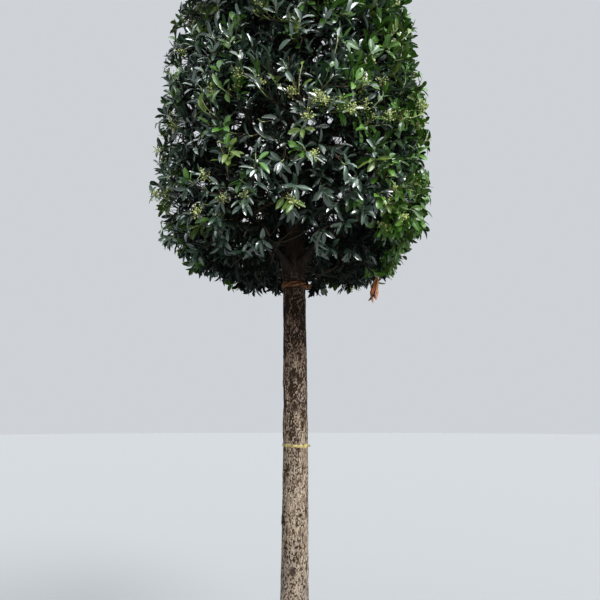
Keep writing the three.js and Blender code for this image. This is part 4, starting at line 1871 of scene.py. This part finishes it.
class Growth:
    """A Geometry Nodes tree that lays small things out, with named inputs for its sizes."""

    def __init__(self, name: str, material: Material) -> None:
        """Makes the tree with its geometry input and output.

        Args:
            name: The tree's name.
            material: What its result is made of.
        """
        self.material = material
        self.tree = bpy.data.node_groups.new(name, "GeometryNodeTree")
        self.inputs: dict[str, tuple[str, object]] = {}
        self.tree.interface.new_socket("Geometry", in_out="INPUT", socket_type="NodeSocketGeometry")
        self.tree.interface.new_socket("Geometry", in_out="OUTPUT", socket_type="NodeSocketGeometry")
        self.entry = self.tree.nodes.new("NodeGroupInput")
        self.exit = self.tree.nodes.new("NodeGroupOutput")

    def size(self, name: str, kind: str, value: object) -> NodeSocket:
        """Adds a named input.

        Args:
            name: Its name.
            kind: Its socket's type.
            value: What the modifier sets it to.

        Returns:
            The socket that its value comes out of.
        """
        socket = self.tree.interface.new_socket(name, in_out="INPUT", socket_type=kind)
        self.inputs[name] = (socket.identifier, value)
        return self.entry.outputs[name]

    def node(
        self, kind: str, settings: Settings = None, inputs: Values = None, output: str | int = 0
    ) -> NodeSocket:
        """Adds a node, as new_node does."""
        return new_node(self.tree, kind, settings, inputs, output)

    def vector(self, operation: str, *values: object, output: str = "Vector") -> NodeSocket:
        """Returns the result of one Vector Math node on these values."""
        return self.node("ShaderNodeVectorMath", {"operation": operation}, dict(enumerate(values)), output)

    def compared(self, operation: str, value: NodeSocket, limit: object) -> NodeSocket:
        """Returns whether a value is less than a limit, or greater, as the operation says."""
        settings = {"data_type": "FLOAT", "operation": operation}
        return self.node("FunctionNodeCompare", settings, {0: value, 1: limit})

    def chance(self, low: Triple, high: Triple, seed: int) -> NodeSocket:
        """Returns a random vector between two, a new one for each element."""
        values = {0: low, 1: high, "Seed": seed}
        return self.node("FunctionNodeRandomValue", {"data_type": "FLOAT_VECTOR"}, values)

    def grown(self, last: NodeSocket, name: str, base: bpy.types.Mesh) -> Object:
        """Ends the tree, runs it on a mesh and keeps the result as a plain mesh.

        Args:
            last: The geometry that the tree ends with, before its instances are made real.
            name: The piece's name.
            base: What the tree starts from.

        Returns:
            The piece, with no modifier.
        """
        material = self.size("Material", "NodeSocketMaterial", self.material)
        real = self.node("GeometryNodeRealizeInstances", None, {"Geometry": last})
        made = self.node("GeometryNodeSetMaterial", None, {"Geometry": real, "Material": material})
        self.tree.links.new(made, self.exit.inputs[0])
        piece = added(name, base)
        modifier = piece.modifiers.new("growth", "NODES")
        modifier.node_group = self.tree
        for identifier, value in self.inputs.values():
            modifier[identifier] = value
        evaluated = piece.evaluated_get(bpy.context.evaluated_depsgraph_get())
        mesh = bpy.data.meshes.new_from_object(evaluated)
        piece.modifiers.remove(modifier)
        piece.data = mesh
        return piece


@dataclass
class Buds:
    """The buds and small green fruit, a ball on the end of each stalk."""

    middles: Array
    radius: float
    least: float = 0.55
    segments: int = 5

    def build(self, material: Material) -> Object:
        """Sets a small ball on every stalk's end by Geometry Nodes.

        Args:
            material: The buds' skin.

        Returns:
            The piece.
        """
        base = bpy.data.meshes.new("bud_points")
        base.vertices.add(len(self.middles))
        base.vertices.foreach_set("co", self.middles.astype(np.float32).ravel())
        growth = Growth("bud_clusters", material)
        radius = growth.size("Radius", "NodeSocketFloat", self.radius)
        values = {"Radius": radius, "Segments": self.segments, "Rings": 2}
        ball = growth.node("GeometryNodeMeshUVSphere", None, values)
        values = {2: self.least, 3: 1.0, "Seed": BUD_SEED}
        size = growth.node("FunctionNodeRandomValue", {"data_type": "FLOAT"}, values, 1)
        values = {"Points": growth.entry.outputs[0], "Instance": ball, "Scale": size}
        set_out = growth.node("GeometryNodeInstanceOnPoints", None, values)
        piece = growth.grown(set_out, "green_buds", base)
        piece.data.shade_smooth()
        return piece


@dataclass(frozen=True)
class Pot:
    """A round moulded tub with a rolled rim, a band under it and two thin moulded lines."""

    height: float = field(default_factory=lambda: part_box("pot")[1].z)
    rim_radius: float = field(default_factory=lambda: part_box("pot")[1].x)
    base_radius: float = 0.284
    wall: float = 0.006
    floor: float = 0.008
    foot_round: float = 0.01
    roll: float = 0.011
    band: float = 0.062
    step: float = 0.005
    sides: int = 160
    line_depth: float = 0.0022
    line_heights: tuple[float, ...] = (0.085, 0.41)
    line_form: tuple[Span, ...] = ((-0.006, 0.0), (-0.003, 0.7), (0.0, 1.0), (0.003, 0.7), (0.006, 0.0))

    def outside(self, height: float) -> float:
        """Returns the sloping wall's outer radius at a height."""
        top = self.rim_radius - self.roll - self.step
        return lerp(self.base_radius, top, height / (self.height - self.band))

    def profile(self) -> Array:
        """Draws the pot's section.

        Returns:
            Its points, from the middle of the underside round to the middle of the floor.
        """
        band_foot = self.height - self.band
        middle = self.rim_radius - self.roll
        points = [(0.0, 0.0), (self.base_radius - self.foot_round, 0.0)]
        for turn in np.linspace(-math.pi / 2, 0, 6)[1:]:
            round_x = self.base_radius - self.foot_round * (1 - math.cos(turn))
            points.append((round_x, self.foot_round * (1 + math.sin(turn))))
        for line in self.line_heights:
            for up, out in self.line_form:
                points.append((self.outside(line + up) + out * self.line_depth, line + up))
        points += [(self.outside(band_foot - 0.003), band_foot - 0.003), (middle - 0.0015, band_foot)]
        points += [(middle, band_foot + 0.0025), (middle, self.height - 2 * self.roll)]
        for turn in np.linspace(-math.pi / 2, math.pi, 19)[1:]:
            out, up = self.roll * math.cos(turn), self.roll * math.sin(turn)
            points.append((middle + out, self.height - self.roll + up))
        points += [(middle - self.roll, band_foot), (self.outside(self.floor) - self.wall, self.floor)]
        return np.array([*points, (0.0, self.floor)])

    def build(self, material: Material) -> Object:
        """Makes the pot of this plastic."""
        return lathe(self.profile(), self.sides).build("pot_shell", [material])


@dataclass(frozen=True)
class Compost:
    """The filling of the pot: a rough bed, bark chips strewn over it, and a few fallen leaves."""

    pot: Pot
    trunk: Trunk
    form: LeafForm
    dip: float = 0.014
    flat_radius: float = 0.13
    sides: int = 128
    rings: int = 40
    rough: float = 0.006
    lump_scales: Span = (11.0, 31.0)
    calm_places: Span = (0.05, 0.13)
    chips_per_square_metre: float = 2400.0
    chip: Triple = (0.03, 0.013, 0.005)
    chip_sizes: tuple[Triple, Triple] = ((0.3, 0.4, 0.4), (1.0, 1.1, 1.1))
    chip_room: float = 0.02
    chip_facing: float = 0.6
    chip_tilt: float = 0.25
    chip_ragged: Triple = (0.014, 0.014, 0.01)
    litter_count: int = 46
    litter_places: Span = (0.1, 0.3)

    @property
    def edge(self) -> float:
        """The bed's radius at the pot's wall."""
        return self.pot.rim_radius - 2 * self.pot.roll - CLEARANCE

    def level(self, points: Array) -> Array:
        """Works out the bed's height.

        Args:
            points: Where, by X and Y.

        Returns:
            The height at each.
        """
        away = from_axis(points)
        fall = np.clip((away - self.flat_radius) / (self.edge - self.flat_radius), 0, 1)
        flat = np.column_stack([points[:, :2], np.zeros(len(points))])
        coarse, fine = self.lump_scales
        lumps = noise_at(flat, coarse) + 0.5 * noise_at(flat + 5.0, fine)
        calm = smooth(*self.calm_places, away)
        return self.trunk.foot - 0.003 - self.dip * fall + self.rough * lumps * calm

    def bed(self, material: Material) -> Object:
        """Makes the rough bed as a closed solid.

        Args:
            material: The compost.

        Returns:
            The piece.
        """
        foot = self.pot.floor + CLEARANCE
        foot_edge = self.pot.outside(self.pot.floor) - self.pot.wall - CLEARANCE
        band_foot = self.pot.height - self.pot.band
        wall = [(0.0, foot), (foot_edge, foot), (self.edge, band_foot)]
        rings = [(radius, self.trunk.foot) for radius in np.linspace(self.edge, 0.01, self.rings)]
        profile = np.array([*wall, *rings, (0.0, self.trunk.foot)])
        shape = lathe(profile, self.sides)
        top = shape.corners[:, 2] > band_foot + 0.001
        shape.corners[top, 2] = self.level(shape.corners[top])
        return shape.build("compost_bed", [material])

    def chips(self, bed: Object, material: Material) -> Object:
        """Strews bark chips over the bed by Geometry Nodes.

        Args:
            bed: What they lie on.
            material: The chips' bark.

        Returns:
            The piece.
        """
        growth = Growth("bark_chips", material)
        density = growth.size("Chips per square metre", "NodeSocketFloat", self.chips_per_square_metre)
        largest = growth.size("Largest chip", "NodeSocketVector", self.chip)
        reach = growth.size("Reach", "NodeSocketFloat", self.edge - self.chip_room)
        seed = growth.size("Seed", "NodeSocketInt", MULCH_SEED)
        flat = growth.vector("MULTIPLY", growth.node("GeometryNodeInputPosition"), (1, 1, 0))
        within = growth.compared("LESS_THAN", growth.vector("LENGTH", flat, output="Value"), reach)
        normal = growth.node("GeometryNodeInputNormal")
        facing = growth.node("ShaderNodeSeparateXYZ", None, {0: normal}, "Z")
        upward = growth.compared("GREATER_THAN", facing, self.chip_facing)
        both = growth.node("FunctionNodeBooleanMath", None, {0: within, 1: upward})
        values = {"Mesh": growth.entry.outputs[0], "Selection": both, "Density": density, "Seed": seed}
        points = growth.node("GeometryNodeDistributePointsOnFaces", None, values)
        values = {"Size": largest, "Vertices X": 4, "Vertices Y": 3, "Vertices Z": 2}
        cube = growth.node("GeometryNodeMeshCube", None, values)
        tilt = self.chip_tilt
        turn = growth.chance((-tilt, -tilt, 0.0), (tilt, tilt, math.tau), MULCH_SEED + 1)
        size = growth.chance(*self.chip_sizes, MULCH_SEED + 2)
        values = {0: points.node.outputs["Rotation"], 1: turn}
        tilted = growth.node("FunctionNodeRotateRotation", {"rotation_space": "LOCAL"}, values)
        values = {"Points": points, "Instance": cube, "Rotation": tilted, "Scale": size}
        laid = growth.node("GeometryNodeInstanceOnPoints", None, values)
        real = growth.node("GeometryNodeRealizeInstances", None, {"Geometry": laid})
        values = {"Scale": 90.0, "Detail": 1.0}
        wobble = growth.node("ShaderNodeTexNoise", {"noise_dimensions": "3D"}, values, "Color")
        centred = growth.vector("SUBTRACT", wobble, (0.5, 0.5, 0.5))
        values = {"Geometry": real, "Offset": growth.vector("MULTIPLY", centred, self.chip_ragged)}
        return growth.grown(growth.node("GeometryNodeSetPosition", None, values), "bark_chips", bed.data)

    def litter(self, materials: list[Material]) -> Object:
        """Drops some dry leaves on the bed.

        Args:
            materials: The dry colours.

        Returns:
            The piece.
        """
        rng = np.random.default_rng(LITTER_SEED)
        count = self.litter_count
        nearest, farthest = self.litter_places
        turn = rng.uniform(0, math.tau, count)
        away = np.sqrt(rng.uniform(nearest**2, farthest**2, count))
        root = np.column_stack([away * np.cos(turn), away * np.sin(turn), np.zeros(count)])
        root[:, 2] = self.level(root) + rng.uniform(0.005, 0.009, count)
        heading = rng.uniform(0, math.tau, count)
        aim = unit(np.column_stack([np.cos(heading), np.sin(heading), rng.uniform(-0.05, 0.12, count)]))
        outside = from_axis(root + aim * self.form.length) > self.edge - 0.01
        aim[outside, :2] *= -1
        face = square_to(rng.normal(0, 0.2, (count, 3)) + UP, aim)
        length = self.form.length * rng.uniform(0.7, 1.0, count)
        slot = rng.integers(0, len(materials), count)
        curl, twist = rng.uniform(-0.15, 0.1, count), rng.normal(0, 0.4, count)
        leaves = LeafSet(root, aim, face, length, np.ones(count), curl, twist, slot, slot)
        return self.form.shape(leaves).build("leaf_litter", materials)


@dataclass(frozen=True)
class Tie:
    """A tie round the stem: flat strands that twist about each other, a knot, and loose ends beside it."""

    name: str
    trunk: Trunk
    height: float
    width: float
    thick: float
    knot: float
    tail: float
    slant: float
    strands: int
    twists: int
    crisp: bool = False
    slant_turn: float = 0.9
    gap: float = 0.0016
    half_thick: float = 0.55
    weave_rise: float = 0.48
    weave_out: float = 0.5
    crease_rise: float = 0.16
    crease_scale: float = 2.7
    stations: int = 150
    sides: int = 8

    def build(self, material: Material) -> Object:
        """Makes the strands, the knot and the ends as one mesh.

        Args:
            material: What it is woven or drawn from.

        Returns:
            The piece.
        """
        shapes = [self._strand(i / self.strands) for i in range(self.strands)]
        shapes += [self._knot(), self._end(1), self._end(-1)]
        piece = joined(shapes).build(self.name, [material])
        corners = np.array([corner.co for corner in piece.data.vertices])
        away = corners - self.trunk.line(corners[:, 2])
        skin = self.trunk.skin(corners[:, 2], np.arctan2(away[:, 1], away[:, 0]))
        # The fold layer is what the webbing's material paints fold highlights and the shade between folds
        # from.
        paint(piece, FOLD_LAYER, np.clip((from_axis(away) - skin) / (2.0 * self.thick), 0, 1))
        if self.crisp:
            piece.data.shade_flat()
        return piece

    def _flat(self, half_width: Array, half_thick: Array) -> Array:
        """Returns the section's radius at each of its sides, for an oval that stands upright."""
        turn = even_turns(self.sides)
        return 1 / np.hypot(np.cos(turn) / half_width[:, None], np.sin(turn) / half_thick[:, None])

    def _strand(self, phase: float) -> Shape:
        """Returns one strand, which starts and ends in the knot.

        Args:
            phase: How far round the twist it starts, as a share of a turn.

        Returns:
            Its shape.
        """
        turn = np.linspace(0, math.tau, self.stations)
        twist = self.twists * turn + math.tau * phase
        around = np.stack([np.cos(turn), np.sin(turn), np.full_like(turn, self.height + phase)], axis=-1)
        creases = noise_at(around, self.crease_scale)
        apart = 1 - 1 / self.strands
        aside = self.weave_rise * self.width * apart * np.sin(twist)
        height = self.height + self.slant * np.cos(turn + self.slant_turn) + aside
        height += self.crease_rise * self.width * creases
        out = self.thick * (self.half_thick + self.weave_out * apart * np.cos(twist))
        radius = self.trunk.skin(height, turn) + self.gap + out
        line = self.trunk.line(height)
        points = np.column_stack([line[:, 0] + radius * np.cos(turn), radius * np.sin(turn), height])
        half = self.width / (0.65 + 0.8 * self.strands) * (0.8 + 0.14 * np.cos(2 * twist + 1) + 0.2 * creases)
        radii = self._flat(half, np.full_like(half, self.half_thick * self.thick))
        return sweep(points[None], radii[None], self.sides, UP[None])

    def _start(self) -> Array:
        """Returns where the knot sits."""
        out = float(self.trunk.radius(self.height)) + self.thick
        return self.trunk.line(self.height) + np.array([out, 0, self.slant * math.cos(self.slant_turn)])

    def _knot(self) -> Shape:
        """Makes the knot.

        Returns:
            A short thick roll with a waist.
        """
        share = np.linspace(-1, 1, 9)
        points = self._start() + np.stack([0.2 * share, 0.35 * share, 0.9 * share], axis=-1) * self.knot
        radii = self.knot * np.sqrt(np.maximum(1 - share**2, 0.02)) * (0.75 + 0.2 * np.cos(5 * share))
        return sweep(points[None], radii[None], 12)

    def _end(self, side: int) -> Shape:
        """Returns one loose end, which curls away beside the other.

        Args:
            side: 1 or -1, for the upper and the lower end.

        Returns:
            Its shape.
        """
        share = np.linspace(0, 1, 14)
        out = self.tail * (1 if side > 0 else 0.7) * np.sin(1.5 * share)
        up = self.tail * (0.3 * side * share - 0.2 * share**2 + 0.05 * np.sin(7 * share))
        points = self._start() + np.stack([out, -0.35 * side * self.tail * share, up], axis=-1)
        half = 0.3 * self.width * (1 - 0.3 * share + 0.12 * np.sin(9 * share))
        radii = self._flat(half, np.full_like(half, 0.5 * self.thick))
        return sweep(points[None], radii[None], self.sides, np.array([[0.2, 0.4 * side, 1.0]]))


@dataclass(frozen=True)
class SkyLight:
    """One part of an even sky: where it shines from, how many degrees it is across, and what it gives."""

    name: str
    place: Triple
    across: float
    strength: float
    colour: Colour


@dataclass(frozen=True)
class Studio:
    """The pale floor, the soft light of an overcast sky, and the camera."""

    eye: Triple = (0.028, -2.85, 1.5)
    pitch: float = math.radians(101.1)
    lens: float = 36.0
    sensor: float = 36.0
    farthest: float = 200.0
    floor_radius: float = 60.0
    floor_sides: int = 96
    floor_colour: Colour = (0.23, 0.234, 0.238)
    sky: Colour = (0.86, 0.9, 0.95)
    sky_strength: float = 0.72
    lights: tuple[SkyLight, ...] = (
        SkyLight("overcast", (0.1, -0.3, 1.0), 88.0, 4.4, (0.93, 0.98, 1.0)),
        SkyLight("key", (0.8, -1.0, 1.1), 28.0, 4.1, (0.97, 0.99, 1.0)),
    )

    def build(self) -> None:
        """Makes the whole studio."""
        self._camera()
        self._floor()
        for light in self.lights:
            self._lamp(light)
        world = bpy.data.worlds.new("soft_sky")
        world.use_nodes = True
        background = world.node_tree.nodes["Background"]
        background.inputs["Color"].default_value = (*self.sky, 1.0)
        background.inputs["Strength"].default_value = self.sky_strength
        bpy.context.scene.world = world
        bpy.context.scene.view_settings.view_transform = "Standard"

    def _camera(self) -> None:
        """Makes the camera, at the eye height and the upward tilt of the photograph."""
        data = bpy.data.cameras.new("camera")
        data.lens = self.lens
        data.sensor_width = self.sensor
        data.clip_end = self.farthest
        camera = added("camera", data)
        camera.location = self.eye
        camera.rotation_euler = (self.pitch, 0.0, 0.0)
        bpy.context.scene.camera = camera

    def _floor(self) -> None:
        """Makes a wide plain floor."""
        turns = even_turns(self.floor_sides)
        rim = self.floor_radius * np.stack([np.cos(turns), np.sin(turns), 0 * turns], axis=-1)
        material = PlainFinish("floor_pale", self.floor_colour, 0.9).material()
        floor = Shape(rim, [np.arange(self.floor_sides)[None]]).build("floor", [material])
        floor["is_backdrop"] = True

    def _lamp(self, light: SkyLight) -> None:
        """Sets up one light, far away, so that it shines past the origin.

        Args:
            light: The part of the sky that it stands for.
        """
        data = bpy.data.lights.new(light.name, "SUN")
        data.angle = math.radians(light.across)
        data.energy = light.strength
        data.color = light.colour
        lamp = added(light.name, data)
        lamp.location = 10 * Vector(light.place)
        lamp.rotation_euler = Vector(light.place).to_track_quat("Z", "Y").to_euler()


def hand_over(piece: Object, nodes: list[str]) -> None:
    """Gives a finished piece to the frame and reports it.

    Args:
        piece: The piece.
        nodes: The nodes that it stands for.
    """
    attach(piece, BODY)
    if nodes:
        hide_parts(*nodes)
    triangles = sum(len(polygon.vertices) - 2 for polygon in piece.data.polygons)
    LOG.info("%s: %d triangles", piece.name, triangles)


def named(prefix: str, rings: tuple[Ring, ...] = RINGS) -> list[str]:
    """Returns the nodes of a kind in some rings, the crest counting with the upper ring."""
    found = [f"{prefix}_{ring.name}_{i + 1}" for ring in rings for i in range(ring.count)]
    return found + (["foliage_crest"] if prefix == "foliage" and RINGS[-1] in rings else [])


def main() -> None:
    """Builds the holly from the ground up, and then the studio."""
    logging.basicConfig(level=logging.INFO, format="%(name)s %(message)s")
    bark = BarkFinish("bark_freckled").material()
    # The boughs' bark is darkened to near-black: bark colour with painted shade inside the crown.
    shaded_limb_bark = WoodFinish("bark_of_boughs", (0.01, 0.006, 0.0042), (0.026, 0.0165, 0.0115)).material()
    twig_bark = WoodFinish("bark_of_twigs", (0.04, 0.028, 0.017), (0.085, 0.065, 0.04), 160.0).material()
    pot, trunk = Pot(), Trunk()
    compost = Compost(pot, trunk, LeafForm())
    hand_over(pot.build(PotFinish().material()), ["pot"])
    crumb = EarthFinish("compost_crumb", (0.02, 0.014, 0.01), (0.06, 0.042, 0.03), (0.12, 0.085, 0.06))
    chip_bark = EarthFinish("chip_bark", (0.075, 0.04, 0.024), (0.2, 0.115, 0.07), (0.33, 0.23, 0.155))
    bed = compost.bed(crumb.material())
    chips = compost.chips(bed, chip_bark.material())
    dry = [PlainFinish(f"litter_{i}", colour, 0.7).material() for i, colour in enumerate(DRY_COLOURS)]
    hand_over(bed, ["compost"])
    hand_over(chips, ["compost"])
    hand_over(compost.litter(dry), ["compost"])
    hand_over(trunk.build(bark), ["trunk"])
    strap = Tie(
        name="strap_orange",
        trunk=trunk,
        height=2.126,
        width=0.03,
        thick=0.0043,
        knot=0.007,
        tail=0.026,
        slant=0.003,
        strands=3,
        twists=2,
    )
    strap_finish = StrapFinish("strap_orange_webbing", (0.07, 0.026, 0.011), (0.2, 0.085, 0.037))
    hand_over(strap.build(strap_finish.material()), ["orange_strap"])
    tape = Tie(
        name="tape_yellow",
        trunk=trunk,
        height=1.375,
        width=0.013,
        thick=0.0011,
        knot=0.0028,
        tail=0.01,
        slant=-0.002,
        strands=2,
        twists=2,
        crisp=True,
    )
    hand_over(tape.build(TapeFinish().material()), ["yellow_tape"])
    crown = Crown(trunk)
    hand_over(Boughs(crown).build(shaded_limb_bark), named("bough"))
    foliage = Foliage(crown)
    shoot_green = PlainFinish("shoot_green", (0.25, 0.3, 0.11), 0.45).material()
    stalk_green = PlainFinish("stalk_green", (0.3, 0.35, 0.12), 0.5).material()
    pieces = foliage.build(twig_bark, shoot_green, stalk_green)
    everywhere = named("foliage")
    hand_over(pieces.pop("twigs"), everywhere)
    for name in ("shoots", "bud_stalks"):
        hand_over(pieces.pop(name), everywhere)
    for ring, piece in zip(RINGS, pieces.values()):
        hand_over(piece, named("foliage", (ring,)))
    buds = Buds(foliage.bud_lines(foliage.shoots)[1], foliage.bud_radius)
    hand_over(buds.build(PlainFinish("bud_green", (0.5, 0.54, 0.18), 0.45).material()), everywhere)
    Studio().build()
    boxes = {"cad": CAD_BOX, "visual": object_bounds()}
    {key: [list(corner) for corner in box] for key, box in boxes.items()}


if __name__ == "__main__":
    main()
